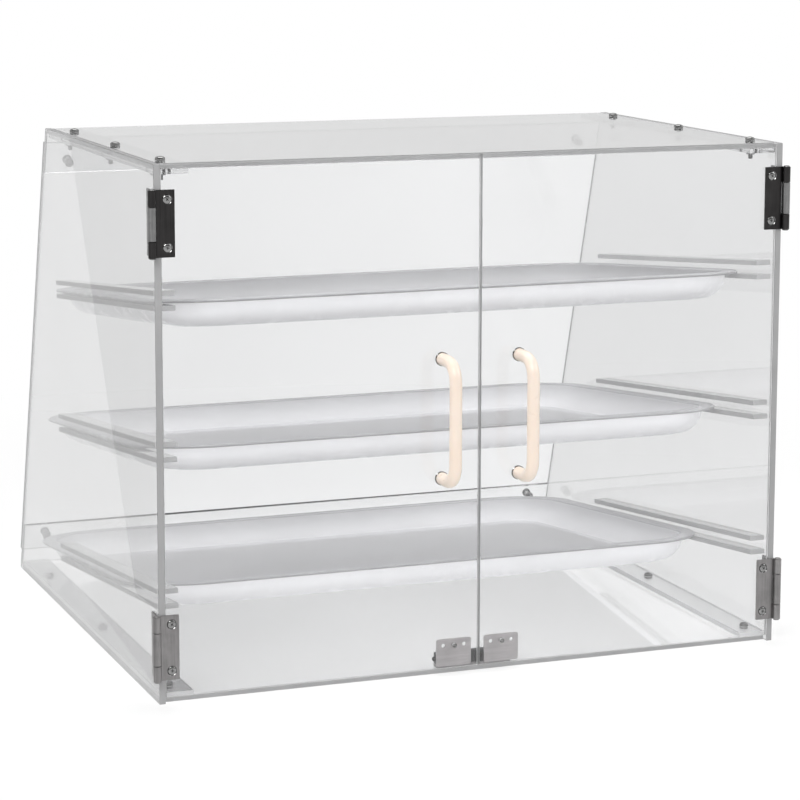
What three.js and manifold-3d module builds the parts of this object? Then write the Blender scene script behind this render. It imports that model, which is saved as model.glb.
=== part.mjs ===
// Countertop food display case of clear sheet, with three tilted trays and two rear doors.
// Millimetres, +Z up. The doors face -Y, the slanted customer front faces +Y.
// The origin is the centre of the case's underside.

import * as THREE from 'three';
import { mergeVertices } from 'three/addons/utils/BufferGeometryUtils.js';
import Module from 'manifold-3d';

const wasm = await Module();
wasm.setup();

// Case
const caseWidth = 533;
const caseHeight = 419;
const baseDepth = 470;
const topDepth = 342;
const sideThickness = 5;
const sheetThickness = 4;
const bendInnerRadius = 2;
const sideCornerRadius = 1.5;
const topLipLength = 41;
const baseLipLength = 46;
const frontPanelBottomInset = 19;
const frontPanelTopInset = 14;

// Clearances
const glueLine = 0.1;
const seatGap = 0.1;
const turnedSeatGap = 0.3;
const holeClearance = 0.25;
const cutOverrun = 1;

// Cleats under the top panel and on the base panel
const cleatWidth = 23.4;
const cleatThickness = 4;
const cleatEndGap = 3;

// Doors
const doorThickness = 4;
const doorRearGap = 1.2;
const doorSideGap = 0.5;
const doorSeam = 1.5;
const doorFloorGap = 1;
const doorTopInset = 0.5;

// Hinges
const hingeInset = 45;
const leafHeight = 51.5;
const leafWidth = 16;
const leafThickness = 1.2;
const knuckleRadius = 3.25;
const knuckleGap = 0.3;
const knuckleOut = 3;
const knuckleBeside = 2.3;
const middleKnuckleShare = 0.5;
const hingePinRadius = 1.5;
const hingePinClearance = 0.1;
const hingePinHeadRadius = 2.6;
const hingePinHeadHeight = 1;
const leafScrewInset = 10;
const leafScrewSpacing = 36.8;
const leafScrewHeadRadius = 3.8;
const leafScrewHeadHeight = 1.6;
const leafScrewRadius = 1.9;
const screwTipInset = 0.6;

// Handles
const handleCentres = 96;
const handleSeamInset = 33;
const handleReach = 30;
const handleBarRadius = 5;
const handleBendRadius = 18;
const handleRingRadius = 5.6;
const handleRingThickness = 1.6;
const handleScrewRadius = 2;
const handleScrewHeadRadius = 3.8;
const handleScrewHeadHeight = 2.2;

// Strike plates and magnetic catch
const strikeWidth = 30;
const strikeHeight = 22.5;
const strikeThickness = 1.2;
const strikeCornerRadius = 2;
const strikeSeamInset = 5.6;
const strikeBottomInset = 1.2;
const strikeHoleTopInset = 5.4;
const strikeHoleSpacing = 9;
const strikeHoleRadius = 1.6;
const strikeScrewHeadRadius = 2.8;
const strikeScrewHeadHeight = 1.4;
const strikeScrewRadius = 1.5;
const catchWidth = 64;
const catchShift = 2;
const catchDepth = 9;
const catchFootHeight = 2.5;
const catchFootSetback = 1;
const catchBodyHeight = 9.5;
const catchStudRadius = 2.2;
const catchStudLength = 3;

// Rails
const railWidth = 13;
const railThickness = 4;
const railLength = 310;
const railDoorGap = 3;
const railSlot = 7.6;
const railTiltDegrees = 6;
const bottomShelfHeight = 89.5;
const shelfRiseShares = { bottom: 0, middle: 0.3496, top: 0.7056 };

// Trays
const traySideClearance = 4;
const trayCornerRadius = 60;
const trayRimWidth = 10.5;
const trayWall = 2.5;
const trayDishDepth = 20;
const topTrayDoorClearance = 9.5;
const trayFrontClearance = 0.5;

// Case screws
const caseScrewInset = 14;
const topScrewDepthShares = { rear: 0.09, middle: 0.474, front: 0.863 };
const baseScrewDepthShares = { rear: 0.053, middle: 0.445, front: 0.845 };
const frontScrewSideInset = 25.5;
const frontScrewEndInset = 16.5;
const screwRadius = 2;
const screwHeadRadius = 4;
const screwHeadHeight = 3;
const screwHeadRim = 0.8;
const nutAcrossFlats = 7;
const nutThickness = 3.2;
const threadBeyondNut = 3.6;
const frontThreadBeyondNut = 1;
const countersinkRadius = 3.8;
const countersinkDepth = 2.2;
const countersinkRecess = 0.2;

// Facets
const screwSides = 12;
const holeSides = 12;
const knuckleSides = 12;
const handleSides = 12;
const handleSteps = 22;
const domeSteps = 3;
const bendSteps = 5;
const trayCornerSteps = 7;
const trayWallSteps = 4;

// Places worked out from the sizes
const halfWidth = caseWidth / 2;
const innerHalfWidth = halfWidth - sideThickness;
const rearY = -baseDepth / 2;
const frontBottomY = baseDepth / 2;
const frontTopY = rearY + topDepth;
const slantAngle = Math.atan2(frontBottomY - frontTopY, caseHeight);
const slantLength = Math.hypot(frontBottomY - frontTopY, caseHeight);
const doorInnerY = rearY + doorThickness;
const sheetRearY = doorInnerY + doorRearGap;
const cleatBaseTop = sheetThickness + glueLine + cleatThickness;
const cleatTopBottom = caseHeight - cleatBaseTop;
const doorBottomZ = sheetThickness + doorFloorGap;
const doorTopZ = caseHeight - doorTopInset;
const strikeBottomZ = doorBottomZ + strikeBottomInset;
const strikeScrewZ = strikeBottomZ + strikeHeight - strikeHoleTopInset;
const strikeScrewX = strikeSeamInset + strikeWidth / 2;
const caseScrewX = halfWidth - caseScrewInset;
const frontScrewX = halfWidth - frontScrewSideInset;
const railPairRise = railSlot + railThickness;
const trayHalfWidth = innerHalfWidth - traySideClearance;
const railTiltAngle = THREE.MathUtils.degToRad(railTiltDegrees);

const sides = { left: -1, right: 1 };
const hingeHeights = { lower: hingeInset, upper: caseHeight - hingeInset };
const frontScrewHeights = {
  lower: frontPanelBottomInset + frontScrewEndInset,
  upper: slantLength - frontPanelTopInset - frontScrewEndInset,
};
const handleHeights = [
  caseHeight / 2 - handleCentres / 2,
  caseHeight / 2 + handleCentres / 2,
];

const finishes = {
  clearSheet: { color: 0xe9edee, roughness: 0.05, metalness: 0, transparent: true, opacity: 0.3 },
  clearTray: { color: 0xdfe2e4, roughness: 0.2, metalness: 0, transparent: true, opacity: 0.55 },
  satinSteel: { color: 0x9d9a98, roughness: 0.38, metalness: 1 },
  darkSteel: { color: 0x3d3d3e, roughness: 0.35, metalness: 1 },
  brightSteel: { color: 0xc8c8c6, roughness: 0.22, metalness: 1 },
  creamPlastic: { color: 0xf5e4d7, roughness: 0.3, metalness: 0 },
  blackPlastic: { color: 0x161617, roughness: 0.3, metalness: 0 },
};

const displayCase = new THREE.Group();

function addPiece(parent, name, geometry, finish) {
  const mesh = new THREE.Mesh(geometry, new THREE.MeshStandardMaterial(finishes[finish]));
  mesh.name = name;
  parent.add(mesh);
  return mesh;
}

// Solids for joining and cutting

function toSolid(geometry) {
  const bare = geometry.clone();
  bare.deleteAttribute('normal');
  bare.deleteAttribute('uv');
  const merged = mergeVertices(bare);
  const corners = merged.index.array;
  const kept = [];
  for (let first = 0; first < corners.length; first += 3) {
    const [a, b, c] = corners.slice(first, first + 3);
    if (a !== b && b !== c && c !== a) {
      kept.push(a, b, c);
    }
  }
  return new wasm.Manifold(new wasm.Mesh({
    numProp: 3,
    vertProperties: new Float32Array(merged.attributes.position.array),
    triVerts: Uint32Array.from(kept),
  }));
}

function toGeometry(solid) {
  const mesh = solid.getMesh();
  const geometry = new THREE.BufferGeometry();
  geometry.setAttribute('position', new THREE.BufferAttribute(mesh.vertProperties, 3));
  geometry.setIndex(new THREE.BufferAttribute(mesh.triVerts, 1));
  geometry.computeVertexNormals();
  return geometry;
}

function join(geometries) {
  return toGeometry(geometries.map(toSolid).reduce((whole, piece) => whole.add(piece)));
}

function cut(geometry, tools) {
  return toGeometry(tools.map(toSolid).reduce((whole, tool) => whole.subtract(tool), toSolid(geometry)));
}

// Basic shapes

// A block between two values on each axis, given in either order.
function block([x0, x1], [y0, y1], [z0, z1]) {
  const geometry = new THREE.BoxGeometry(Math.abs(x1 - x0), Math.abs(y1 - y0), Math.abs(z1 - z0));
  return geometry.translate((x0 + x1) / 2, (y0 + y1) / 2, (z0 + z1) / 2);
}

// A round or hexagonal bar along Z from the first height to the second.
function bar(radius, z0, z1, barSides) {
  const geometry = new THREE.CylinderGeometry(radius, radius, z1 - z0, barSides);
  return geometry.rotateX(Math.PI / 2).translate(0, 0, (z0 + z1) / 2);
}

// A turned piece around Z. The profile is [radius, height], from bottom to top, and ends on the axis.
function turned(profile, turnedSides) {
  const points = profile.map(([radius, height]) => new THREE.Vector2(radius, height));
  return new THREE.LatheGeometry(points, turnedSides).rotateX(Math.PI / 2);
}

// A closed outline through [x, y, radius] corners, with every corner rounded by its own radius.
function roundedOutline(corners, steps = bendSteps) {
  const points = corners.flatMap(([x, y, radius], index) => {
    const corner = new THREE.Vector2(x, y);
    if (radius === 0) {
      return [corner];
    }
    const [previousX, previousY] = corners.at(index - 1);
    const [nextX, nextY] = corners[(index + 1) % corners.length];
    const back = new THREE.Vector2(previousX, previousY).sub(corner).normalize();
    const ahead = new THREE.Vector2(nextX, nextY).sub(corner).normalize();
    const halfAngle = Math.acos(back.dot(ahead)) / 2;
    const toCentre = back.clone().add(ahead).setLength(radius / Math.sin(halfAngle));
    const centre = corner.clone().add(toCentre);
    const start = corner.clone().addScaledVector(back, radius / Math.tan(halfAngle)).sub(centre);
    const sweep = Math.sign(ahead.cross(back)) * (Math.PI - 2 * halfAngle);
    const arc = [];
    for (let step = 0; step <= steps; step += 1) {
      arc.push(start.clone().rotateAround(new THREE.Vector2(), sweep * step / steps).add(centre));
    }
    return arc;
  });
  return new THREE.Shape(points);
}

// An outline given in Y and Z, made solid along X between two values.
function alongX(outline, x0, x1) {
  const geometry = new THREE.ExtrudeGeometry(outline, { depth: x1 - x0, bevelEnabled: false });
  const turn = new THREE.Matrix4().makeBasis(
    new THREE.Vector3(0, 1, 0),
    new THREE.Vector3(0, 0, 1),
    new THREE.Vector3(1, 0, 0),
  );
  return geometry.applyMatrix4(turn).translate(x0, 0, 0);
}

// An outline given in X and Z, made solid along Y between two values.
function alongY(outline, y0, y1) {
  const geometry = new THREE.ExtrudeGeometry(outline, { depth: y1 - y0, bevelEnabled: false });
  return geometry.rotateX(Math.PI / 2).translate(0, y1, 0);
}

// A dome's profile, from the edge of its seat to its top.
function domeProfile(radius, rim, height, seat) {
  const profile = [[radius, seat]];
  for (let step = 0; step < domeSteps; step += 1) {
    const angle = (Math.PI / 2) * (step / domeSteps);
    profile.push([radius * Math.cos(angle), seat + rim + (height - rim) * Math.sin(angle)]);
  }
  profile.push([0, seat + height]);
  return profile;
}

// The Y of the line that lies inside the slanted edge by the given depth, at height z.
function slantY(z, depth) {
  return frontBottomY - (depth + z * Math.sin(slantAngle)) / Math.cos(slantAngle);
}

// A point on the slanted edge, by its distance from the lower corner and its depth inside the edge.
function slantPoint(distance, depth) {
  return [
    frontBottomY - distance * Math.sin(slantAngle) - depth * Math.cos(slantAngle),
    distance * Math.cos(slantAngle) - depth * Math.sin(slantAngle),
  ];
}

// The Y of each screw of a row, from the shares of a panel's depth.
function screwRow(depthShares, depth) {
  return Object.entries(depthShares).map(([place, share]) => [place, rearY + share * depth]);
}

const topScrewRow = screwRow(topScrewDepthShares, topDepth);
const baseScrewRow = screwRow(baseScrewDepthShares, baseDepth);

// Drills for the holes of the vertical screws on one side
function verticalDrills(row, side, z0, z1) {
  return row.map(([, y]) => bar(screwRadius + holeClearance, z0 - cutOverrun, z1 + cutOverrun, holeSides)
    .translate(side * caseScrewX, y, 0));
}

// Case panels

function sidePanel(side) {
  const outline = roundedOutline([
    [rearY, 0, 0],
    [frontBottomY, 0, sideCornerRadius],
    [frontTopY, caseHeight, sideCornerRadius],
    [rearY, caseHeight, 0],
  ]);
  const inner = side * innerHalfWidth;
  const outer = side * halfWidth;
  const sheet = alongX(outline, Math.min(inner, outer), Math.max(inner, outer));
  const drills = Object.values(hingeHeights).flatMap((height) => [-1, 1].map((end) => {
    const drill = bar(leafScrewRadius + holeClearance, -cutOverrun, sideThickness + cutOverrun, holeSides);
    return drill
      .rotateY(Math.PI / 2)
      .translate(Math.min(inner, outer), rearY + leafScrewInset, height + end * leafScrewSpacing / 2);
  }));
  return cut(sheet, drills);
}

// Holes for the front panel's screws, as drills in the slanted frame turned upright
function slantedDrill(side, height) {
  const reach = sheetThickness + cutOverrun;
  return bar(screwRadius + holeClearance, -reach, reach, holeSides)
    .rotateX(-Math.PI / 2)
    .translate(side * frontScrewX, 0, height)
    .rotateX(slantAngle)
    .translate(0, frontBottomY, 0);
}

function topPanel() {
  const sheetUnderside = caseHeight - sheetThickness;
  const innerCorner = (sheetUnderside + sheetThickness * Math.sin(slantAngle)) / Math.cos(slantAngle);
  const lipEnd = slantLength - topLipLength;
  const outline = roundedOutline([
    [sheetRearY, sheetUnderside, 0],
    [...slantPoint(innerCorner, sheetThickness), bendInnerRadius],
    [...slantPoint(lipEnd, sheetThickness), 0],
    [...slantPoint(lipEnd, 0), 0],
    [frontTopY, caseHeight, bendInnerRadius + sheetThickness],
    [sheetRearY, caseHeight, 0],
  ]);
  const sheet = alongX(outline, glueLine - innerHalfWidth, innerHalfWidth - glueLine);
  const drills = Object.values(sides).flatMap((side) => [
    ...verticalDrills(topScrewRow, side, sheetUnderside, caseHeight),
    slantedDrill(side, frontScrewHeights.upper),
  ]);
  return cut(sheet, drills);
}

function basePanel() {
  const innerCorner = (sheetThickness + sheetThickness * Math.sin(slantAngle)) / Math.cos(slantAngle);
  const outline = roundedOutline([
    [sheetRearY, 0, 0],
    [frontBottomY, 0, bendInnerRadius + sheetThickness],
    [...slantPoint(baseLipLength, 0), 0],
    [...slantPoint(baseLipLength, sheetThickness), 0],
    [...slantPoint(innerCorner, sheetThickness), bendInnerRadius],
    [sheetRearY, sheetThickness, 0],
  ]);
  const sheet = alongX(outline, glueLine - innerHalfWidth, innerHalfWidth - glueLine);
  const drills = Object.values(sides).flatMap((side) => [
    ...verticalDrills(baseScrewRow, side, 0, sheetThickness),
    ...baseScrewRow.map(([, y]) => countersinkDrill().translate(side * caseScrewX, y, 0)),
    slantedDrill(side, frontScrewHeights.lower),
  ]);
  return cut(sheet, drills);
}

// The cone that a countersunk head needs, open below the panel
function countersinkDrill() {
  const mouth = countersinkRadius + holeClearance;
  const throatHeight = countersinkRecess + countersinkDepth + holeClearance;
  return turned([
    [0, -cutOverrun],
    [mouth, -cutOverrun],
    [mouth, countersinkRecess],
    [screwRadius + holeClearance, throatHeight],
    [0, throatHeight],
  ], holeSides);
}

// The front panel in the slanted frame: +Z up the slant, +Y out of the case
function frontPanel() {
  const sheet = block(
    [-halfWidth, halfWidth],
    [turnedSeatGap, turnedSeatGap + sheetThickness],
    [frontPanelBottomInset, slantLength - frontPanelTopInset],
  );
  const drills = Object.values(sides).flatMap((side) => Object.values(frontScrewHeights).map((height) => (
    bar(screwRadius + holeClearance, -cutOverrun, turnedSeatGap + sheetThickness + cutOverrun, holeSides)
      .rotateX(-Math.PI / 2)
      .translate(side * frontScrewX, 0, height)
  )));
  return cut(sheet, drills);
}

function cleat(side, row, z0, z1, frontY) {
  const outer = side * (innerHalfWidth - glueLine);
  const strip = block([outer, outer - side * cleatWidth], [sheetRearY, frontY], [z0, z1]);
  return cut(strip, verticalDrills(row, side, z0, z1));
}

function addCase() {
  addPiece(displayCase, 'top_panel', topPanel(), 'clearSheet');
  addPiece(displayCase, 'base_panel', basePanel(), 'clearSheet');
  const cleatFront = sheetThickness + cleatEndGap;
  for (const [name, side] of Object.entries(sides)) {
    addPiece(displayCase, `${name}_side_panel`, sidePanel(side), 'clearSheet');
    const topCleat = cleat(
      side,
      topScrewRow,
      cleatTopBottom,
      cleatTopBottom + cleatThickness,
      slantY(caseHeight, cleatFront),
    );
    addPiece(displayCase, `top_${name}_cleat`, topCleat, 'clearSheet');
    const baseCleat = cleat(
      side,
      baseScrewRow,
      cleatBaseTop - cleatThickness,
      cleatBaseTop,
      slantY(cleatBaseTop, cleatFront),
    );
    addPiece(displayCase, `base_${name}_cleat`, baseCleat, 'clearSheet');
  }
}

// Case screws. Each has its seat under the head at zero, the head above and the shank below.

function nut(radiusAcrossFlats, z0, z1) {
  return bar(radiusAcrossFlats / Math.cos(Math.PI / 6), z0, z1, 6);
}

function nuttedScrew(grip, beyondNut) {
  const nutTop = -grip - seatGap;
  const end = nutTop - nutThickness - beyondNut;
  const screw = turned([
    [0, end],
    [screwRadius, end],
    [screwRadius, 0],
    ...domeProfile(screwHeadRadius, screwHeadRim, screwHeadHeight, 0),
  ], screwSides);
  return join([screw, nut(nutAcrossFlats / 2, nutTop - nutThickness, nutTop)]);
}

// The base's screws: a countersunk head below the base panel and a domed cap nut on the cleat
function cappedScrew() {
  const capSeat = cleatBaseTop + seatGap;
  return turned([
    [0, countersinkRecess],
    [countersinkRadius, countersinkRecess],
    [screwRadius, countersinkRecess + countersinkDepth],
    [screwRadius, capSeat],
    ...domeProfile(screwHeadRadius, screwHeadRim, screwHeadHeight, capSeat),
  ], screwSides);
}

function addCaseScrews(slantedFrame) {
  const topGrip = cleatBaseTop + seatGap;
  const frontSeat = turnedSeatGap + sheetThickness + seatGap;
  for (const [name, side] of Object.entries(sides)) {
    for (const [place, y] of topScrewRow) {
      const screw = nuttedScrew(topGrip, threadBeyondNut);
      addPiece(displayCase, `top_${name}_${place}_screw`, screw, 'brightSteel')
        .position.set(side * caseScrewX, y, caseHeight + seatGap);
    }
    for (const [place, y] of baseScrewRow) {
      addPiece(displayCase, `base_${name}_${place}_screw`, cappedScrew(), 'brightSteel')
        .position.set(side * caseScrewX, y, 0);
    }
    for (const [place, height] of Object.entries(frontScrewHeights)) {
      const screw = nuttedScrew(frontSeat + sheetThickness, frontThreadBeyondNut);
      const mesh = addPiece(slantedFrame, `front_${place}_${name}_screw`, screw, 'brightSteel');
      mesh.rotation.x = -Math.PI / 2;
      mesh.position.set(side * frontScrewX, frontSeat, height);
    }
  }
}

// Doors

function doorDrill(radius, x, z) {
  return bar(radius + holeClearance, -cutOverrun, doorThickness + cutOverrun, holeSides)
    .rotateX(-Math.PI / 2)
    .translate(x, rearY, z);
}

function doorPanel(side) {
  const sheet = block(
    [side * doorSeam / 2, side * (innerHalfWidth - doorSideGap)],
    [rearY, doorInnerY],
    [doorBottomZ, doorTopZ],
  );
  const leafDrills = Object.values(hingeHeights).flatMap((height) => [-1, 1].map((end) => (
    doorDrill(leafScrewRadius, side * (halfWidth - leafScrewInset), height + end * leafScrewSpacing / 2)
  )));
  const handleDrills = handleHeights.map((height) => (
    doorDrill(handleScrewRadius, side * handleSeamInset, height)
  ));
  const strikeDrill = doorDrill(strikeScrewRadius, side * strikeScrewX, strikeScrewZ);
  return cut(sheet, [...leafDrills, ...handleDrills, strikeDrill]);
}

// A bow handle's bar with a ring at each foot and the screws that hold it through the door
function handle(side) {
  const foot = -seatGap - handleRingThickness / 2;
  const bendStart = handleReach - handleBendRadius;
  const half = handleCentres / 2;
  const bendTop = half - handleBendRadius;
  const point = (out, z) => new THREE.Vector3(0, -out, z);
  const path = new THREE.CurvePath();
  path.add(new THREE.LineCurve3(point(-foot, half), point(bendStart, half)));
  path.add(new THREE.QuadraticBezierCurve3(
    point(bendStart, half),
    point(handleReach, half),
    point(handleReach, bendTop),
  ));
  path.add(new THREE.LineCurve3(point(handleReach, bendTop), point(handleReach, -bendTop)));
  path.add(new THREE.QuadraticBezierCurve3(
    point(handleReach, -bendTop),
    point(handleReach, -half),
    point(bendStart, -half),
  ));
  path.add(new THREE.LineCurve3(point(bendStart, -half), point(-foot, -half)));
  const section = new THREE.Shape(circlePoints(handleBarRadius, handleSides));
  const grip = new THREE.ExtrudeGeometry(section, { steps: handleSteps, extrudePath: path });
  const fixings = [-half, half].map((z) => turned([
    [0, -seatGap - doorThickness - seatGap - handleScrewHeadHeight],
    [handleScrewHeadRadius, -seatGap - doorThickness - seatGap - handleScrewHeadHeight],
    [handleScrewHeadRadius, -seatGap - doorThickness - seatGap],
    [handleScrewRadius, -seatGap - doorThickness - seatGap],
    [handleScrewRadius, 0],
    [handleRingRadius, 0],
    [handleRingRadius, handleRingThickness],
    [0, handleRingThickness],
  ], handleSides).rotateX(Math.PI / 2).translate(0, -seatGap, z));
  return join([grip, ...fixings]).translate(side * handleSeamInset, rearY, caseHeight / 2);
}

function circlePoints(radius, count) {
  const points = [];
  for (let index = 0; index < count; index += 1) {
    const angle = (2 * Math.PI * index) / count;
    points.push(new THREE.Vector2(radius * Math.cos(angle), radius * Math.sin(angle)));
  }
  return points;
}

// A strike plate on the door's inner face, with two open holes and a screw between them
function strikePlate(side) {
  const x0 = side * strikeScrewX - strikeWidth / 2;
  const x1 = side * strikeScrewX + strikeWidth / 2;
  const outline = roundedOutline([
    [x0, strikeBottomZ, strikeCornerRadius],
    [x1, strikeBottomZ, strikeCornerRadius],
    [x1, strikeBottomZ + strikeHeight, strikeCornerRadius],
    [x0, strikeBottomZ + strikeHeight, strikeCornerRadius],
  ]);
  for (const end of [-1, 1]) {
    const centre = new THREE.Vector2(side * strikeScrewX + end * strikeHoleSpacing, strikeScrewZ);
    const points = circlePoints(strikeHoleRadius, holeSides).map((point) => point.add(centre));
    outline.holes.push(new THREE.Path(points));
  }
  const faceY = doorInnerY + seatGap;
  const plate = alongY(outline, faceY, faceY + strikeThickness);
  const headSeat = strikeThickness / 2;
  const screw = turned([
    [0, screwTipInset - doorThickness],
    [strikeScrewRadius, screwTipInset - doorThickness],
    [strikeScrewRadius, headSeat],
    ...domeProfile(strikeScrewHeadRadius, 0, strikeScrewHeadHeight + headSeat, headSeat),
  ], screwSides).rotateX(-Math.PI / 2).translate(side * strikeScrewX, faceY, strikeScrewZ);
  return join([plate, screw]);
}

// The double magnet's housing on its foot, standing on the base panel behind the strike plates
function magneticCatch() {
  const y0 = doorInnerY + seatGap + strikeThickness + turnedSeatGap;
  const z0 = sheetThickness + glueLine;
  const z1 = z0 + catchFootHeight;
  const z2 = z1 + catchBodyHeight;
  const xRange = [-catchShift - catchWidth / 2, -catchShift + catchWidth / 2];
  const foot = block(xRange, [y0 + catchFootSetback, y0 + catchDepth], [z0, z1 + glueLine]);
  const body = block(xRange, [y0, y0 + catchDepth], [z1, z2]);
  const studs = xRange.map((x, index) => turned([
    [0, -catchStudLength],
    [catchStudRadius, -catchStudLength],
    ...domeProfile(catchStudRadius, 0, catchStudLength, 0),
  ], screwSides).rotateY((index - 1 / 2) * Math.PI).translate(x, y0 + catchDepth / 2, (z1 + z2) / 2));
  return join([foot, body, ...studs]);
}

function addDoors() {
  for (const [name, side] of Object.entries(sides)) {
    addPiece(displayCase, `${name}_door_panel`, doorPanel(side), 'clearSheet');
    addPiece(displayCase, `${name}_door_handle`, handle(side), 'creamPlastic');
    addPiece(displayCase, `${name}_strike_plate`, strikePlate(side), 'satinSteel');
  }
  addPiece(displayCase, 'magnetic_catch', magneticCatch(), 'blackPlastic');
}

// Hinges, each around an axis beside and behind the case's rear corner.
// In the hinge's own frame the corner is at zero, X points out of the side and Y into the case.

const knuckleClearRadius = knuckleRadius + knuckleGap;
const middleKnuckleHalf = (leafHeight * middleKnuckleShare) / 2;

function knuckle(z0, z1) {
  return bar(knuckleRadius, z0, z1, knuckleSides);
}

function leafScrew(length) {
  return turned([
    [0, -length],
    [leafScrewRadius, -length],
    [leafScrewRadius, -leafThickness / 2],
    ...domeProfile(leafScrewHeadRadius, 0, leafScrewHeadHeight + leafThickness / 2, -leafThickness / 2),
  ], screwSides);
}

function leafScrewHeights() {
  return [-leafScrewSpacing / 2, leafScrewSpacing / 2];
}

function boredKnuckles(pieces, side) {
  const bore = bar(
    hingePinRadius + hingePinClearance,
    -leafHeight / 2 - cutOverrun,
    leafHeight / 2 + cutOverrun,
    knuckleSides,
  );
  return cut(join(pieces), [bore.translate(side * knuckleBeside, -knuckleOut, 0)]);
}

function doorLeaf(side) {
  const outerFace = -seatGap - leafThickness;
  const plateEnd = knuckleBeside - Math.sqrt(knuckleClearRadius ** 2 - (knuckleOut + outerFace) ** 2);
  const plate = block(
    [-side * leafWidth, side * plateEnd],
    [-seatGap, outerFace],
    [-leafHeight / 2, leafHeight / 2],
  );
  const ends = [
    [-leafHeight / 2, -middleKnuckleHalf - knuckleGap],
    [middleKnuckleHalf + knuckleGap, leafHeight / 2],
  ];
  const barrels = ends.map(([z0, z1]) => knuckle(z0, z1).translate(side * knuckleBeside, -knuckleOut, 0));
  const tongues = ends.map(([z0, z1]) => (
    block([side * (plateEnd - leafThickness), side * knuckleBeside], [-seatGap, outerFace], [z0, z1])
  ));
  const screws = leafScrewHeights().map((z) => (
    leafScrew(leafThickness + seatGap + doorThickness - screwTipInset)
      .rotateX(Math.PI / 2)
      .translate(-side * leafScrewInset, outerFace, z)
  ));
  return boredKnuckles([plate, ...barrels, ...tongues, ...screws], side);
}

function sideLeaf(side) {
  const outerFace = seatGap + leafThickness;
  const plateStart = Math.sqrt(knuckleClearRadius ** 2 - (knuckleBeside - outerFace) ** 2) - knuckleOut;
  const plate = block(
    [side * seatGap, side * outerFace],
    [plateStart, leafWidth],
    [-leafHeight / 2, leafHeight / 2],
  );
  const barrel = knuckle(-middleKnuckleHalf, middleKnuckleHalf)
    .translate(side * knuckleBeside, -knuckleOut, 0);
  const tongue = block(
    [side * seatGap, side * outerFace],
    [plateStart + leafThickness, -knuckleOut],
    [-middleKnuckleHalf, middleKnuckleHalf],
  );
  const screws = leafScrewHeights().map((z) => (
    leafScrew(leafThickness + seatGap + sideThickness - screwTipInset)
      .rotateY(side * Math.PI / 2)
      .translate(side * outerFace, leafScrewInset, z)
  ));
  return boredKnuckles([plate, barrel, tongue, ...screws], side);
}

function hingePin() {
  const headSeat = leafHeight / 2 + seatGap;
  const end = headSeat + hingePinHeadHeight;
  return turned([
    [0, -end],
    [hingePinHeadRadius, -end],
    [hingePinHeadRadius, -headSeat],
    [hingePinRadius, -headSeat],
    [hingePinRadius, headSeat],
    [hingePinHeadRadius, headSeat],
    [hingePinHeadRadius, end],
    [0, end],
  ], knuckleSides);
}

function addHinges() {
  for (const [name, side] of Object.entries(sides)) {
    for (const [place, height] of Object.entries(hingeHeights)) {
      const finish = place === 'upper' ? 'darkSteel' : 'satinSteel';
      const hinge = new THREE.Group();
      hinge.position.set(side * halfWidth, rearY, height);
      displayCase.add(hinge);
      addPiece(hinge, `${name}_${place}_hinge_side_leaf`, sideLeaf(side), finish);
      addPiece(hinge, `${name}_${place}_hinge_door_leaf`, doorLeaf(side), finish);
      addPiece(hinge, `${name}_${place}_hinge_pin`, hingePin(), finish)
        .position.set(side * knuckleBeside, -knuckleOut, 0);
    }
  }
}

// Shelves. Each level's frame starts at the lower rails' top face, at their end by the doors.
// There +Y runs down the slope to the front and +Z is square to the rails.

const levelY = sheetRearY + railDoorGap;

function levelZ(riseShare) {
  return bottomShelfHeight + riseShare * (caseHeight - bottomShelfHeight) - railPairRise;
}

function rail(side, top) {
  const outer = side * (innerHalfWidth - glueLine);
  return block([outer, outer - side * railWidth], [0, railLength], [top - railThickness, top]);
}

// How far along the slope the tray's rim reaches before it meets the slanted front or a lip
function rimReach(riseShare, stopDepth) {
  const rimTop = turnedSeatGap + trayWall;
  const lineOffset = frontBottomY * Math.cos(slantAngle) - stopDepth - trayFrontClearance;
  const y = levelY + rimTop * Math.sin(railTiltAngle);
  const z = levelZ(riseShare) + rimTop * Math.cos(railTiltAngle);
  const left = lineOffset - y * Math.cos(slantAngle) - z * Math.sin(slantAngle);
  return left / Math.cos(slantAngle + railTiltAngle);
}

const topTrayRear = (doorInnerY + topTrayDoorClearance - levelY) / Math.cos(railTiltAngle);
const trayLength = rimReach(shelfRiseShares.top, 0) - topTrayRear;

// One level of a tray's wall: its plan outline drawn in by an inset, at a height
function trayRing(inset, z) {
  const x = trayHalfWidth - inset;
  const radius = trayCornerRadius - inset;
  const outline = roundedOutline([
    [-x, inset, radius],
    [x, inset, radius],
    [x, trayLength - inset, radius],
    [-x, trayLength - inset, radius],
  ], trayCornerSteps);
  return outline.getPoints().map((point) => new THREE.Vector3(point.x, point.y, z));
}

// A closed skin through rings of equal count, with a flat cap on the first and the last
function skin(rings) {
  const count = rings[0].length;
  const positions = rings.flat().flatMap((point) => point.toArray());
  const indices = [];
  for (let ring = 0; ring < rings.length - 1; ring += 1) {
    for (let index = 0; index < count; index += 1) {
      const next = (index + 1) % count;
      const a = ring * count + index;
      const b = ring * count + next;
      indices.push(a, b, b + count, a, b + count, a + count);
    }
  }
  const last = (rings.length - 1) * count;
  for (let index = 1; index < count - 1; index += 1) {
    indices.push(0, index + 1, index);
    indices.push(last, last + index, last + index + 1);
  }
  const geometry = new THREE.BufferGeometry();
  geometry.setAttribute('position', new THREE.Float32BufferAttribute(positions, 3));
  geometry.setIndex(indices);
  geometry.computeVertexNormals();
  return geometry;
}

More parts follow.
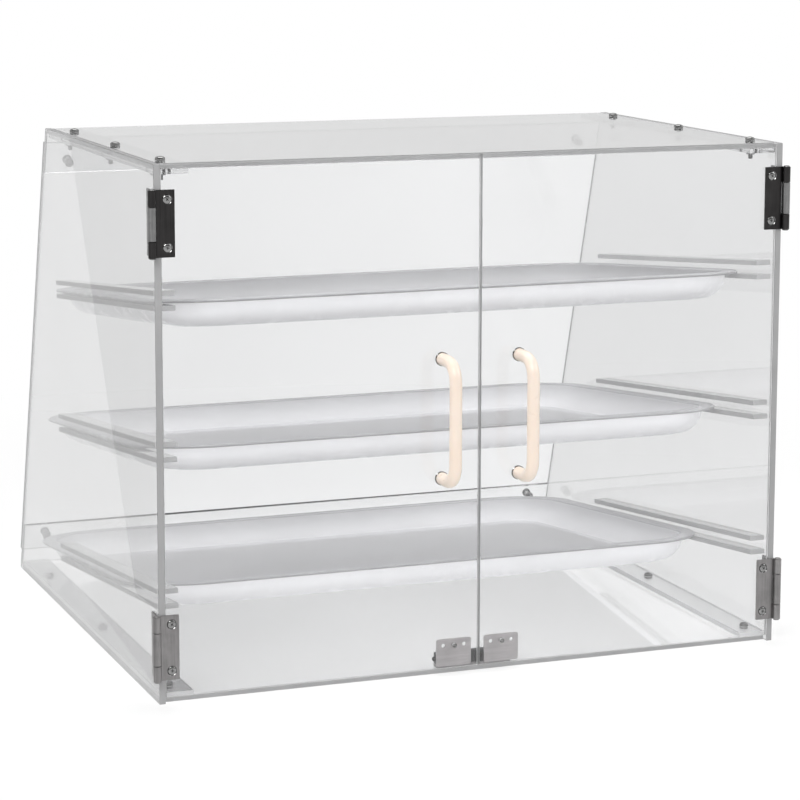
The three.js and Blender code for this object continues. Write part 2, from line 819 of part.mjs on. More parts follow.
// A tray with its rim's underside at zero: a round-sided dish hangs inside the flat rim
function tray() {
  const arcCentre = trayRimWidth + trayDishDepth;
  const wallRing = (radius, step) => {
    const angle = (Math.PI / 2) * (step / trayWallSteps);
    return trayRing(arcCentre - radius * Math.cos(angle), -radius * Math.sin(angle));
  };
  const rings = [];
  for (let step = trayWallSteps; step >= 0; step -= 1) {
    rings.push(wallRing(trayDishDepth, step));
  }
  rings.push(trayRing(0, 0));
  rings.push(trayRing(0, trayWall));
  rings.push(trayRing(trayRimWidth + trayWall, trayWall));
  for (let step = 0; step <= trayWallSteps; step += 1) {
    rings.push(wallRing(trayDishDepth - trayWall, step));
  }
  return skin(rings);
}

function addShelves() {
  const trayStops = { bottom: sheetThickness, middle: 0, top: 0 };
  for (const [level, riseShare] of Object.entries(shelfRiseShares)) {
    const frame = new THREE.Group();
    frame.position.set(0, levelY, levelZ(riseShare));
    frame.rotation.x = -railTiltAngle;
    displayCase.add(frame);
    for (const [name, side] of Object.entries(sides)) {
      addPiece(frame, `${level}_${name}_lower_rail`, rail(side, 0), 'clearSheet');
      addPiece(frame, `${level}_${name}_upper_rail`, rail(side, railPairRise), 'clearSheet');
    }
    addPiece(frame, `${level}_tray`, tray(), 'clearTray')
      .position.set(0, rimReach(riseShare, trayStops[level]) - trayLength, turnedSeatGap);
  }
}

const slantedFrame = new THREE.Group();
slantedFrame.position.set(0, frontBottomY, 0);
slantedFrame.rotation.x = slantAngle;
displayCase.add(slantedFrame);

addCase();
addPiece(slantedFrame, 'front_panel', frontPanel(), 'clearSheet');
addCaseScrews(slantedFrame);
addDoors();
addHinges();
addShelves();

export default displayCase;
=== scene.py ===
# Countertop food display case: clear sheet panels, three cloudy trays, two hinged doors with bow handles.
# Metres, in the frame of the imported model: doors at -Y, slanted front at +Y, underside at Z 0.

import math

import bmesh
import bpy
from mathutils import Matrix, Vector


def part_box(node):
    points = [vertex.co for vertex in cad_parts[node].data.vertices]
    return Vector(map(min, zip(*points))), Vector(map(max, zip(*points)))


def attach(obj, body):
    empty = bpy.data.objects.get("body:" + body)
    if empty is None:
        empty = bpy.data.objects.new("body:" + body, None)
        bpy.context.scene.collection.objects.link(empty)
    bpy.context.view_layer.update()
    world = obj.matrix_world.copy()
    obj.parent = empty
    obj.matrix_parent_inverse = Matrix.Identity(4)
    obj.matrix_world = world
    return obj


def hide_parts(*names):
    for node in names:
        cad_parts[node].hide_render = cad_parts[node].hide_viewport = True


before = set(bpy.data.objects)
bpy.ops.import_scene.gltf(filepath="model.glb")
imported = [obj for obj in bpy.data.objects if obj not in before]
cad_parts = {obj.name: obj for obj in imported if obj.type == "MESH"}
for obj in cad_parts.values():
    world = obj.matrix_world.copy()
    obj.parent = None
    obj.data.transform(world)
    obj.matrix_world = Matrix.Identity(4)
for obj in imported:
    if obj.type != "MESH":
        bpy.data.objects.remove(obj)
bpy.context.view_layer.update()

MM = 0.001
SIDES = {"left": -1, "right": 1}
LEVELS = ("top", "middle", "bottom")
PLACES = ("rear", "middle", "front")

# Sizes of the case, in millimetres
CASE_HALF_WIDTH = 266.5
CASE_HEIGHT = 419
REAR_Y = -235
FRONT_BOTTOM_Y = 235
FRONT_TOP_Y = 107
SIDE_THICKNESS = 5
SHEET = 4
SLANT_ANGLE = math.atan2(FRONT_BOTTOM_Y - FRONT_TOP_Y, CASE_HEIGHT)
SLANT_LENGTH = math.hypot(FRONT_BOTTOM_Y - FRONT_TOP_Y, CASE_HEIGHT)
SHEET_BEVEL = 0.35
STRIP_BEVEL = 0.3
TILT = math.radians(6)
HINGE_HEIGHTS = {"lower": 45, "upper": 374}
LEAF_SCREW_INSET = 10
LEAF_SCREW_HALF_SPACING = 18.4
CASE_SCREW_INSET = 14
CASE_SCREW_X = CASE_HALF_WIDTH - CASE_SCREW_INSET
TOP_SCREW_SHARES = (0.09, 0.474, 0.863)
BASE_SCREW_SHARES = (0.053, 0.445, 0.845)
TOP_SCREW_Y = [REAR_Y + share * (FRONT_TOP_Y - REAR_Y) for share in TOP_SCREW_SHARES]
BASE_SCREW_Y = [REAR_Y + share * (FRONT_BOTTOM_Y - REAR_Y) for share in BASE_SCREW_SHARES]
FRONT_SCREW_INSET = 25.5
FRONT_SCREW_X = CASE_HALF_WIDTH - FRONT_SCREW_INSET
LOWER_SCREW_RISE = 35.5
UPPER_SCREW_DROP = 30.5
FRONT_SCREW_HEIGHTS = {"lower": LOWER_SCREW_RISE, "upper": SLANT_LENGTH - UPPER_SCREW_DROP}
HANDLE_X = 33
HANDLE_HALF_SPACING = 48
STRIKE_X = 20.6
STRIKE_BOTTOM = 6.2
STRIKE_SCREW_HEIGHT = 17.1
# The gap under a fitting, the overlap of a piece's parts, and how far a cutter passes the faces it cuts
SEAT_GAP = 0.1
JOIN = 0.1
OVERRUN = 1

# Sides of round shapes
THREAD_SIDES = 20
SHANK_SIDES = 24
HOLE_SIDES = 28
HEAD_SIDES = 32
BARREL_SIDES = 36

# Edges sharper than these angles, in degrees, stay sharp in the shading, or are eased
SMOOTH_ANGLE = 20
EASED_ANGLE = 40


# Mesh shapes, in metres, made from sizes in millimetres

def to_mesh(bm, name):
    mesh = bpy.data.meshes.new(name)
    bm.to_mesh(mesh)
    bm.free()
    return mesh


def add_object(name, data):
    obj = bpy.data.objects.new(name, data)
    bpy.context.scene.collection.objects.link(obj)
    return obj


def shade(mesh, smooth_angle):
    mesh.polygons.foreach_set("use_smooth", [True] * len(mesh.polygons))
    mesh.set_sharp_from_angle(angle=math.radians(smooth_angle))
    return mesh


def finish_mesh(bm, name, smooth_angle=SMOOTH_ANGLE):
    bmesh.ops.recalc_face_normals(bm, faces=bm.faces)
    return shade(to_mesh(bm, name), smooth_angle)


def bevel_sharp(bm, width, segments):
    sharp = math.radians(EASED_ANGLE)
    edges = [e for e in bm.edges if len(e.link_faces) == 2 and e.calc_face_angle(0) > sharp]
    bmesh.ops.bevel(bm, geom=edges, offset=width * MM, segments=segments, profile=0.5,
                    affect="EDGES", clamp_overlap=True)


def prism(outline, z0, z1, bevel, segments=2):
    """A straight solid between two heights over an outline of [x, y] points, its sharp edges eased."""
    bm = bmesh.new()
    lower = [bm.verts.new((x * MM, y * MM, z0 * MM)) for x, y in outline]
    upper = [bm.verts.new((x * MM, y * MM, z1 * MM)) for x, y in outline]
    bm.faces.new(lower)
    bm.faces.new(upper)
    join_rings(bm, [lower, upper])
    bmesh.ops.recalc_face_normals(bm, faces=bm.faces)
    bevel_sharp(bm, bevel, segments)
    return finish_mesh(bm, "prism")


def block(low, high, bevel, segments=2):
    outline = [(low[0], low[1]), (high[0], low[1]), (high[0], high[1]), (low[0], high[1])]
    return prism(outline, low[2], high[2], bevel, segments)


def circle(sides):
    for k in range(sides):
        angle = 2 * math.pi * k / sides
        yield math.cos(angle), math.sin(angle)


def lathe(profile, sides, smooth_angle=SMOOTH_ANGLE):
    """A turned solid around Z. The profile is [radius, height] points that start and end on the axis."""
    bm = bmesh.new()
    rings = []
    for radius, height in profile:
        points = circle(sides) if radius else [(0, 0)]
        rings.append([bm.verts.new((radius * MM * x, radius * MM * y, height * MM)) for x, y in points])
    join_rings(bm, rings)
    return finish_mesh(bm, "lathe", smooth_angle)


def bar(radius, z0, z1, sides):
    """A plain turned bar around Z."""
    return lathe([(0, z0), (radius, z0), (radius, z1), (0, z1)], sides)


def eased_bar(radius, z0, z1, ease, sides):
    """A turned bar around Z whose two rims are chamfered."""
    inner = radius - ease
    return lathe([(0, z0), (inner, z0), (radius, z0 + ease), (radius, z1 - ease), (inner, z1), (0, z1)],
                 sides)


def join_rings(bm, rings):
    """Faces between rings that follow each other. A ring of one vertex is a tip."""
    for a, b in zip(rings, rings[1:]):
        count = max(len(a), len(b))
        for k in range(count):
            n = (k + 1) % count
            corners = []
            for vert in (a[k % len(a)], a[n % len(a)], b[n % len(b)], b[k % len(b)]):
                if vert not in corners:
                    corners.append(vert)
            bm.faces.new(corners)


def rounded(corners, steps=6):
    """An outline through [x, y, radius] corners, each rounded by its own radius."""
    points = []
    for index, (x, y, radius) in enumerate(corners):
        corner = Vector((x, y))
        if radius == 0:
            points.append((x, y))
            continue
        back = (Vector(corners[index - 1][:2]) - corner).normalized()
        ahead = (Vector(corners[(index + 1) % len(corners)][:2]) - corner).normalized()
        half = back.angle(ahead) / 2
        centre = corner + (back + ahead).normalized() * (radius / math.sin(half))
        start = corner + back * (radius / math.tan(half)) - centre
        end = corner + ahead * (radius / math.tan(half)) - centre
        sweep = start.angle_signed(end)
        for step in range(steps + 1):
            spin = Matrix.Rotation(-sweep * step / steps, 2)
            points.append(tuple(spin @ start + centre))
    return points


def rounded_rectangle(x0, y0, x1, y1, radius, steps=6):
    return rounded([(x0, y0, radius), (x1, y0, radius), (x1, y1, radius), (x0, y1, radius)], steps)


def tube(path, radius, sides):
    """A round bar along a path that lies in one plane of constant X, with flat ends."""
    bm = bmesh.new()
    across = Vector((1, 0, 0))
    rings = []
    for index, point in enumerate(path):
        before = path[max(index - 1, 0)]
        after = path[min(index + 1, len(path) - 1)]
        up = (after - before).normalized().cross(across)
        rings.append([bm.verts.new((point + (across * x + up * y) * radius) * MM) for x, y in circle(sides)])
    join_rings(bm, rings)
    bm.faces.new(rings[0])
    bm.faces.new(rings[-1])
    return finish_mesh(bm, "tube")


def moved(mesh, matrix):
    """A copy of a shape, placed by a matrix in millimetres."""
    copy = mesh.copy()
    scaled = matrix.copy()
    scaled.translation = matrix.translation * MM
    copy.transform(scaled)
    if matrix.determinant() < 0:
        copy.flip_normals()
    return copy


def cut(mesh, tools):
    """The shape with the tools' shapes taken out of it."""
    target = add_object("cut_target", mesh)
    helpers = [add_object("cut_tool", tool) for tool in tools]
    for helper in helpers:
        modifier = target.modifiers.new("cut", "BOOLEAN")
        modifier.operation = "DIFFERENCE"
        modifier.solver = "EXACT"
        modifier.object = helper
    depsgraph = bpy.context.evaluated_depsgraph_get()
    result = bpy.data.meshes.new_from_object(target.evaluated_get(depsgraph))
    for helper in [target, *helpers]:
        bpy.data.objects.remove(helper)
    return shade(result, SMOOTH_ANGLE)


def shift(x, y, z):
    return Matrix.Translation((x, y, z))


def turn(degrees, axis):
    return Matrix.Rotation(math.radians(degrees), 4, axis)


def axes(x, y, z):
    """The matrix that takes the three axes to three directions."""
    return Matrix((x, y, z)).transposed().to_4x4()


def piece(name, parts, materials, body):
    """One object from (mesh, matrix, material index) parts. An index of None keeps the mesh's own ones.
    The name is that of the piece it stands for, with _detail after it."""
    bm = bmesh.new()
    for mesh, matrix, index in parts:
        part = moved(mesh, matrix)
        if index is not None:
            part.polygons.foreach_set("material_index", [index] * len(part.polygons))
        bm.from_mesh(part)
    result = to_mesh(bm, name)
    for material in materials:
        result.materials.append(material)
    obj = add_object(name, result)
    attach(obj, body)
    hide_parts(name.removesuffix("_detail"))


def sheet_piece(name, mesh, place, materials, body="case"):
    """A clear sheet or strip whose faces have their material indices already."""
    piece(f"{name}_detail", [(mesh, place, None)], materials, body)


# Node trees and materials

class Tree:
    """A node tree with short ways to add to it. An input gets either a value or another node's output."""

    def __init__(self, owner):
        owner.use_nodes = True
        self.nodes = owner.node_tree.nodes
        self.links = owner.node_tree.links

    def fill(self, node, inputs):
        for name, value in inputs.items():
            socket = node.inputs[name if isinstance(name, int) else name.replace("_", " ")]
            if isinstance(value, bpy.types.NodeSocket):
                self.links.new(value, socket)
            else:
                socket.default_value = value
        return node

    def add(self, kind, **inputs):
        return self.fill(self.nodes.new(f"ShaderNode{kind}"), inputs)

    def math(self, operation, first, second, clamp=False):
        node = self.add("Math")
        node.operation = operation
        node.use_clamp = clamp
        return self.fill(node, {0: first, 1: second}).outputs["Value"]

    def colours(self, factor, first, second):
        """Goes from the first colour to the second with the factor."""
        node = self.add("Mix")
        node.data_type = "RGBA"
        return self.fill(node, {0: factor, 6: first, 7: second}).outputs[2]

    def shaders(self, factor, first, second):
        """Goes from the first shader to the second with the factor."""
        return self.fill(self.add("MixShader"), {0: factor, 1: first, 2: second}).outputs["Shader"]


def grey(tone, bluer=1):
    return (tone, tone, tone * bluer, 1)


class Surface(Tree):
    """A material's tree. Places and scales are the object's, in metres."""

    def __init__(self, name):
        self.material = bpy.data.materials.new(name)
        super().__init__(self.material)
        self.shader = self.nodes["Principled BSDF"]
        self.output = self.nodes["Material Output"]
        self.place = self.add("TexCoord").outputs["Object"]

    def set(self, **inputs):
        self.fill(self.shader, inputs)

    def noise(self, scale, detail=3, roughness=0.5):
        """The scale is one number, or one for each axis where the grain has a direction."""
        scales = scale if isinstance(scale, tuple) else (scale, scale, scale)
        place = self.add("Mapping", Vector=self.place, Scale=scales).outputs["Vector"]
        return self.add("TexNoise", Vector=place, Scale=1, Detail=detail, Roughness=roughness).outputs["Fac"]

    def spread(self, source, low, high, start=0.3, end=0.7):
        return self.add("MapRange", Value=source, From_Min=start, From_Max=end,
                        To_Min=low, To_Max=high).outputs["Result"]

    def tones(self, source, low, high, start=0.3, end=0.7):
        """The base colour goes from one to another with the source."""
        self.set(Base_Color=self.colours(self.spread(source, 0, 1, start, end), low, high))

    def bump(self, source, strength, distance):
        bump = self.add("Bump", Strength=strength, Distance=distance, Height=source)
        self.set(Normal=bump.outputs["Normal"])

    def pass_light(self, tint=0.99):
        """Lamps and the sky shine through the surface, as they do through clear sheet."""
        clear = self.add("BsdfTransparent", Color=grey(tint)).outputs["BSDF"]
        in_shadow = self.add("LightPath").outputs["Is Shadow Ray"]
        self.fill(self.output, {"Surface": self.shaders(in_shadow, self.shader.outputs["BSDF"], clear)})


ACRYLIC_IOR = 1.49
# Where the painted shade towards the left is full and where it ends, in metres
PAINTED_SHADE_FULL_X = -0.25
PAINTED_SHADE_END_X = -0.03


def clear_sheet(name, near, slope, painted_shade=0):
    """Polished clear sheet: paler seen square on, greyer along it, with faint wipe marks.
    Painted shade greys it towards the left."""
    s = Surface(name)
    facing = s.add("LayerWeight", Blend=0.5).outputs["Facing"]
    depth = s.math("SUBTRACT", near, s.math("MULTIPLY", s.math("POWER", facing, 2), slope))
    tone = s.math("ADD", depth, s.spread(s.noise(5, 2), -0.012, 0.012))
    # Painted shade: the tone falls towards the left
    if painted_shade:
        x = s.add("SeparateXYZ", Vector=s.place).outputs["X"]
        tone = s.math("SUBTRACT", tone, s.spread(x, painted_shade, 0, PAINTED_SHADE_FULL_X, PAINTED_SHADE_END_X))
    tint = s.add("CombineColor", Red=tone, Green=s.math("MULTIPLY", tone, 1.002),
                 Blue=s.math("MULTIPLY", tone, 1.005))
    s.set(Transmission_Weight=1.0, IOR=ACRYLIC_IOR, Base_Color=tint.outputs["Color"],
          Roughness=s.spread(s.noise((9, 9, 60), 5, 0.65), 0.0, 0.02))
    s.pass_light()
    return s.material


def cut_edge(name, low, high, transmission):
    """The sawn and polished edge of clear sheet, a grey band that varies a little along its length."""
    s = Surface(name)
    s.tones(s.noise(40, 3, 0.5), grey(low, 1.01), grey(high, 1.01))
    s.set(Transmission_Weight=transmission, IOR=ACRYLIC_IOR,
          Roughness=s.spread(s.noise(400, 3), 0.3, 0.42))
    s.pass_light(0.85)
    return s.material


def tray_plastic(name, low, high, solidity, roughness=0.40, gloss=0.0):
    """Moulded tray plastic: clouded, a little see-through, with a soft gloss."""
    s = Surface(name)
    s.tones(s.noise(14, 4, 0.6), grey(low, 1.02), grey(high, 1.02))
    s.set(Alpha=solidity, IOR=1.5, Specular_IOR_Level=gloss,
          Roughness=s.spread(s.noise(70, 5, 0.7), roughness * 0.8, roughness * 1.25))
    s.pass_light()
    return s.material


def metal(name, low, high, rough_low, rough_high, grain_scale):
    """Steel with a grain: the tone and the gloss vary along fine lines."""
    s = Surface(name)
    grain = s.noise(grain_scale, 6, 0.7)
    stain = s.noise(60, 3, 0.6)
    both = s.math("ADD", s.math("MULTIPLY", grain, 0.6), s.math("MULTIPLY", stain, 0.4))
    s.tones(both, (*low, 1), (*high, 1), 0.35, 0.65)
    s.set(Metallic=1.0, Roughness=s.spread(grain, rough_low, rough_high))
    s.bump(grain, 0.12, 0.00005)
    return s.material


def cream_plastic():
    s = Surface("cream_plastic")
    s.tones(s.noise(28, 4, 0.6), (0.91, 0.768, 0.65, 1), (0.935, 0.812, 0.705, 1))
    s.set(Coat_Weight=0.35, Coat_Roughness=0.12, IOR=1.48, Subsurface_Weight=0.08,
          Subsurface_Radius=(0.004, 0.002, 0.001),
          Roughness=s.spread(s.noise(160, 4), 0.26, 0.40))
    s.bump(s.noise(420, 3), 0.05, 0.0002)
    return s.material


def black_plastic():
    s = Surface("black_plastic")
    s.tones(s.noise(90, 4, 0.6), (0.008, 0.008, 0.009, 1), (0.022, 0.022, 0.023, 1))
    s.set(IOR=1.5, Roughness=s.spread(s.noise(300, 4), 0.28, 0.5))
    s.bump(s.noise(900, 2), 0.2, 0.0001)
    return s.material


# Painted shade: near-black steel for the hollows of the cross recesses
def painted_shade_recess():
    s = Surface("painted_shade_recess")
    grain = s.noise(500)
    s.tones(grain, grey(0.01), grey(0.03))
    s.set(Metallic=0.6, Roughness=s.spread(grain, 0.4, 0.6))
    return s.material


FACE = clear_sheet("clear_sheet_face", near=0.938, slope=0.52)
EDGE = cut_edge("clear_sheet_edge", low=0.35, high=0.39, transmission=0.06)
# The right side panel's sheet is a darker copy of the clear sheet: painted shade.
SHADED_RIGHT_FACE = clear_sheet("clear_right_face_shaded", near=0.895, slope=0.52)
# The left door's sheet has painted shade towards its hinge side.
SHADED_LEFT_DOOR_FACE = clear_sheet("clear_left_door_face_shaded", near=0.940, slope=0.52, painted_shade=0.055)
# The base sheet is a paler copy of the clear sheet, painted light, with painted shade towards the left.
LIT_AND_SHADED_BASE_FACE = clear_sheet("clear_base_face", near=0.97, slope=0.18, painted_shade=0.05)
TOP_CLEAT = clear_sheet("clear_top_cleat", near=0.985, slope=0.02)
TOP_CLEAT_EDGE = clear_sheet("clear_top_cleat_edge", near=0.88, slope=0.30)
# The left base cleat is a darker copy of the right one: painted shade along the base's left edge.
BASE_CLEATS = {"left": clear_sheet("clear_base_left_cleat", near=0.80, slope=0.60),
               "right": clear_sheet("clear_base_right_cleat", near=0.93, slope=0.42)}
BASE_CLEAT_EDGE = cut_edge("clear_base_cleat_edge", low=0.62, high=0.68, transmission=0.3)
STRIP = clear_sheet("clear_strip", near=0.57, slope=0.20)
STRIP_EDGE = cut_edge("clear_strip_edge", low=0.36, high=0.40, transmission=0.1)
STRIP_GLUED = cut_edge("clear_strip_glued", low=0.15, high=0.18, transmission=0.1)
TRAY_FLOOR = tray_plastic("tray_floor", low=0.42, high=0.45, solidity=0.70)
# The dish's inside is a darker copy of the wall's plastic: painted shade.
SHADED_TRAY_INSIDE = tray_plastic("tray_inside_shaded", low=0.54, high=0.57, solidity=0.85)
# The top tray's floor and inside are darker copies of the other trays' plastic: painted shade.
SHADED_TOP_TRAY_FLOOR = tray_plastic("top_tray_floor", low=0.36, high=0.39, solidity=0.66)
SHADED_TOP_TRAY_INSIDE = tray_plastic("top_tray_inside", low=0.29, high=0.32, solidity=0.85)
TRAY_WALL = tray_plastic("tray_wall", low=0.95, high=0.98, solidity=0.90, roughness=0.25, gloss=0.20)
TRAY_RIM = tray_plastic("tray_rim", low=0.32, high=0.37, solidity=0.95, roughness=0.25, gloss=0.25)
SATIN = metal("satin_steel", (0.19, 0.185, 0.185), (0.32, 0.31, 0.31), 0.28, 0.42, (700, 700, 26))
PLATE = metal("satin_plate", (0.36, 0.34, 0.345), (0.50, 0.48, 0.485), 0.30, 0.44, (26, 700, 700))
DARK = metal("dark_steel", (0.028, 0.027, 0.027), (0.052, 0.050, 0.050), 0.26, 0.40, (700, 700, 26))
GUNMETAL = metal("gunmetal_steel", (0.13, 0.13, 0.13), (0.28, 0.28, 0.28), 0.16, 0.30, (700, 700, 26))
BRIGHT = metal("bright_steel", (0.20, 0.20, 0.20), (0.34, 0.34, 0.337), 0.05, 0.12, 300)
CREAM = cream_plastic()
BLACK = black_plastic()
SHADED_RECESS = painted_shade_recess()
SHEET_MATERIALS = [FACE, EDGE]
SIDE_MATERIALS = {"left": [FACE, EDGE], "right": [SHADED_RIGHT_FACE, EDGE]}
DOOR_MATERIALS = {"left": [SHADED_LEFT_DOOR_FACE, EDGE], "right": [FACE, EDGE]}
BASE_MATERIALS = [LIT_AND_SHADED_BASE_FACE, EDGE]
STRIP_MATERIALS = [STRIP, STRIP_EDGE, STRIP_GLUED]
TRAY_MATERIALS = [TRAY_FLOOR, TRAY_WALL, TRAY_RIM, SHADED_TRAY_INSIDE]
SHADED_TOP_TRAY_MATERIALS = [SHADED_TOP_TRAY_FLOOR, TRAY_WALL, TRAY_RIM, SHADED_TOP_TRAY_INSIDE]


# Sheet panels

SIDE_CORNER_RADIUS = 1.5
DOOR_SLACK = 1.2
GLUE_GAP = 0.1
SHEET_REAR_Y = REAR_Y + SHEET + DOOR_SLACK
BENT_HALF_WIDTH = CASE_HALF_WIDTH - SIDE_THICKNESS - GLUE_GAP
BEND_RADIUS = 2
BEND_REACH = 12
TOP_LIP = 41
BASE_LIP = 46
FRONT_GAP = 0.3
FRONT_LOWER_EDGE = 19
FRONT_UPPER_DROP = 14
DOOR_HALF_GAP = 0.75
DOOR_EDGE_GAP = 0.5
DOOR_LIFT = 1
LEAF_HOLE_RADIUS = 2.15
SCREW_HOLE_RADIUS = 2.25
STRIKE_HOLE_RADIUS = 1.75
# Limits on a face's direction along an axis: square to it, an end face, the rear edge
SQUARE_SHARE = 0.9
END_FACE_SHARE = 0.3
REAR_EDGE_SHARE = 0.95

# Turns a flat sheet's X and Y into the frame's Y and Z, and its thickness into +X
FLAT_TO_SIDE = axes((0, 1, 0), (0, 0, 1), (1, 0, 0))
# Turns a flat sheet's X and Y into the frame's X and Z, and its thickness into -Y
FLAT_TO_DOOR = turn(90, "X")
SLANTED = shift(0, FRONT_BOTTOM_Y, 0) @ Matrix.Rotation(SLANT_ANGLE, 4, "X")


def mark_edges(mesh, is_edge):
    """Gives the faces that is_edge picks, by their normal and centre, the second material."""
    for polygon in mesh.polygons:
        polygon.material_index = int(is_edge(polygon.normal, polygon.center / MM))
        polygon.use_smooth = False
    return mesh


def drill(radius, z0, z1):
    return bar(radius, z0, z1, HOLE_SIDES)


def flat_sheet(outline, thickness, holes):
    """A flat sheet over an outline, from Z 0 to its thickness, with round holes at [x, y, radius]."""
    tools = [moved(drill(radius, -OVERRUN, thickness + OVERRUN), shift(x, y, 0)) for x, y, radius in holes]
    sheet = cut(prism(outline, 0, thickness, SHEET_BEVEL), tools)
    return mark_edges(sheet, lambda normal, centre: abs(normal.z) < SQUARE_SHARE)


def leaf_heights():
    for height in HINGE_HEIGHTS.values():
        for end in (-1, 1):
            yield height + end * LEAF_SCREW_HALF_SPACING


def side_panel(name, side):
    outline = rounded([
        (REAR_Y, 0, 0),
        (FRONT_BOTTOM_Y, 0, SIDE_CORNER_RADIUS),
        (FRONT_TOP_Y, CASE_HEIGHT, SIDE_CORNER_RADIUS),
        (REAR_Y, CASE_HEIGHT, 0)])
    holes = [(REAR_Y + LEAF_SCREW_INSET, z, LEAF_HOLE_RADIUS) for z in leaf_heights()]
    x = CASE_HALF_WIDTH - SIDE_THICKNESS if side > 0 else -CASE_HALF_WIDTH
    sheet = flat_sheet(outline, SIDE_THICKNESS, holes)
    sheet_piece(f"{name}_side_panel", sheet, shift(x, 0, 0) @ FLAT_TO_SIDE, SIDE_MATERIALS[name])


def slant_point(distance, depth):
    """The Y and Z of a point so far up along the slanted front, and so deep under it."""
    return (FRONT_BOTTOM_Y - distance * math.sin(SLANT_ANGLE) - depth * math.cos(SLANT_ANGLE),
            distance * math.cos(SLANT_ANGLE) - depth * math.sin(SLANT_ANGLE))


def is_bend(normal, centre):
    """True on the rounded bend between a panel's flat part and its lip, where the faces are wide in X."""
    bends = [Vector((FRONT_TOP_Y, CASE_HEIGHT)), Vector((FRONT_BOTTOM_Y, 0))]
    nearest = min((Vector((centre.y, centre.z)) - bend).length for bend in bends)
    return abs(normal.x) < END_FACE_SHARE and normal.y > -REAR_EDGE_SHARE and nearest < BEND_REACH


def bent_panel(name, profile, screw_rows, z, slant_height, materials):
    """A panel bent along its slanted lip, with holes for the screws at both sides."""
    bent = moved(prism(profile, -BENT_HALF_WIDTH, BENT_HALF_WIDTH, SHEET_BEVEL), FLAT_TO_SIDE)
    flat_hole = drill(SCREW_HOLE_RADIUS, -SHEET, SHEET)
    lip_hole = drill(SCREW_HOLE_RADIUS, -SHEET - OVERRUN, SHEET + OVERRUN)
    tools = []
    for side in SIDES.values():
        tools += [moved(flat_hole, shift(side * CASE_SCREW_X, y, z)) for y in screw_rows]
        in_lip = SLANTED @ shift(side * FRONT_SCREW_X, -SHEET / 2, slant_height)
        tools.append(moved(lip_hole, in_lip @ turn(90, "X")))
    lip = Vector((0, math.cos(SLANT_ANGLE), math.sin(SLANT_ANGLE)))

    def is_edge(normal, centre):
        if abs(normal.z) >= SQUARE_SHARE:
            return False
        at_rear = centre.y < SHEET_REAR_Y + OVERRUN
        return at_rear or (abs(normal.dot(lip)) < SQUARE_SHARE and not is_bend(normal, centre))

    sheet_piece(name, mark_edges(cut(bent, tools), is_edge), Matrix(), materials)


def bent_panels():
    outer_bend = BEND_RADIUS + SHEET
    rise = SHEET * math.sin(SLANT_ANGLE)
    top_inner = (CASE_HEIGHT - SHEET + rise) / math.cos(SLANT_ANGLE)
    lip_end = SLANT_LENGTH - TOP_LIP
    top = rounded([
        (SHEET_REAR_Y, CASE_HEIGHT - SHEET, 0),
        (*slant_point(top_inner, SHEET), BEND_RADIUS),
        (*slant_point(lip_end, SHEET), 0),
        (*slant_point(lip_end, 0), 0),
        (FRONT_TOP_Y, CASE_HEIGHT, outer_bend),
        (SHEET_REAR_Y, CASE_HEIGHT, 0)])
    bent_panel("top_panel", top, TOP_SCREW_Y, CASE_HEIGHT - SHEET / 2,
               FRONT_SCREW_HEIGHTS["upper"], SHEET_MATERIALS)
    base_inner = (SHEET + rise) / math.cos(SLANT_ANGLE)
    base = rounded([
        (SHEET_REAR_Y, 0, 0),
        (FRONT_BOTTOM_Y, 0, outer_bend),
        (*slant_point(BASE_LIP, 0), 0),
        (*slant_point(BASE_LIP, SHEET), 0),
        (*slant_point(base_inner, SHEET), BEND_RADIUS),
        (SHEET_REAR_Y, SHEET, 0)])
    bent_panel("base_panel", base, BASE_SCREW_Y, SHEET / 2, FRONT_SCREW_HEIGHTS["lower"],
               BASE_MATERIALS)


def front_panel():
    upper_edge = SLANT_LENGTH - FRONT_UPPER_DROP
    outline = [(-CASE_HALF_WIDTH, FRONT_LOWER_EDGE), (CASE_HALF_WIDTH, FRONT_LOWER_EDGE),
               (CASE_HALF_WIDTH, upper_edge), (-CASE_HALF_WIDTH, upper_edge)]
    holes = [(side * FRONT_SCREW_X, height, SCREW_HOLE_RADIUS)
             for side in SIDES.values() for height in FRONT_SCREW_HEIGHTS.values()]
    sheet = flat_sheet(outline, SHEET, holes)
    place = SLANTED @ shift(0, FRONT_GAP + SHEET, 0) @ FLAT_TO_DOOR
    sheet_piece("front_panel", sheet, place, SHEET_MATERIALS)


def door_panel(name, side):
    door_edge = CASE_HALF_WIDTH - SIDE_THICKNESS - DOOR_EDGE_GAP
    x0, x1 = sorted((side * DOOR_HALF_GAP, side * door_edge))
    z0, z1 = SHEET + DOOR_LIFT, CASE_HEIGHT - DOOR_EDGE_GAP
    holes = [(side * (CASE_HALF_WIDTH - LEAF_SCREW_INSET), z, LEAF_HOLE_RADIUS) for z in leaf_heights()]
    for end in (-1, 1):
        holes.append((side * HANDLE_X, CASE_HEIGHT / 2 + end * HANDLE_HALF_SPACING, SCREW_HOLE_RADIUS))
    holes.append((side * STRIKE_X, STRIKE_BOTTOM + STRIKE_SCREW_HEIGHT, STRIKE_HOLE_RADIUS))
    sheet = flat_sheet([(x0, z0), (x1, z0), (x1, z1), (x0, z1)], SHEET, holes)
    place = shift(0, REAR_Y + SHEET, 0) @ FLAT_TO_DOOR
    sheet_piece(f"{name}_door_panel", sheet, place, DOOR_MATERIALS[name], f"{name}_door")


# Cleats and rails

RAIL_LENGTH = 310
RAIL_THICKNESS = 4
GLUED_INDEX = 2


def strip_edges(mesh):
    """Marks all faces of a strip but its two broad ones."""
    return mark_edges(mesh, lambda normal, centre: abs(normal.z) < SQUARE_SHARE)


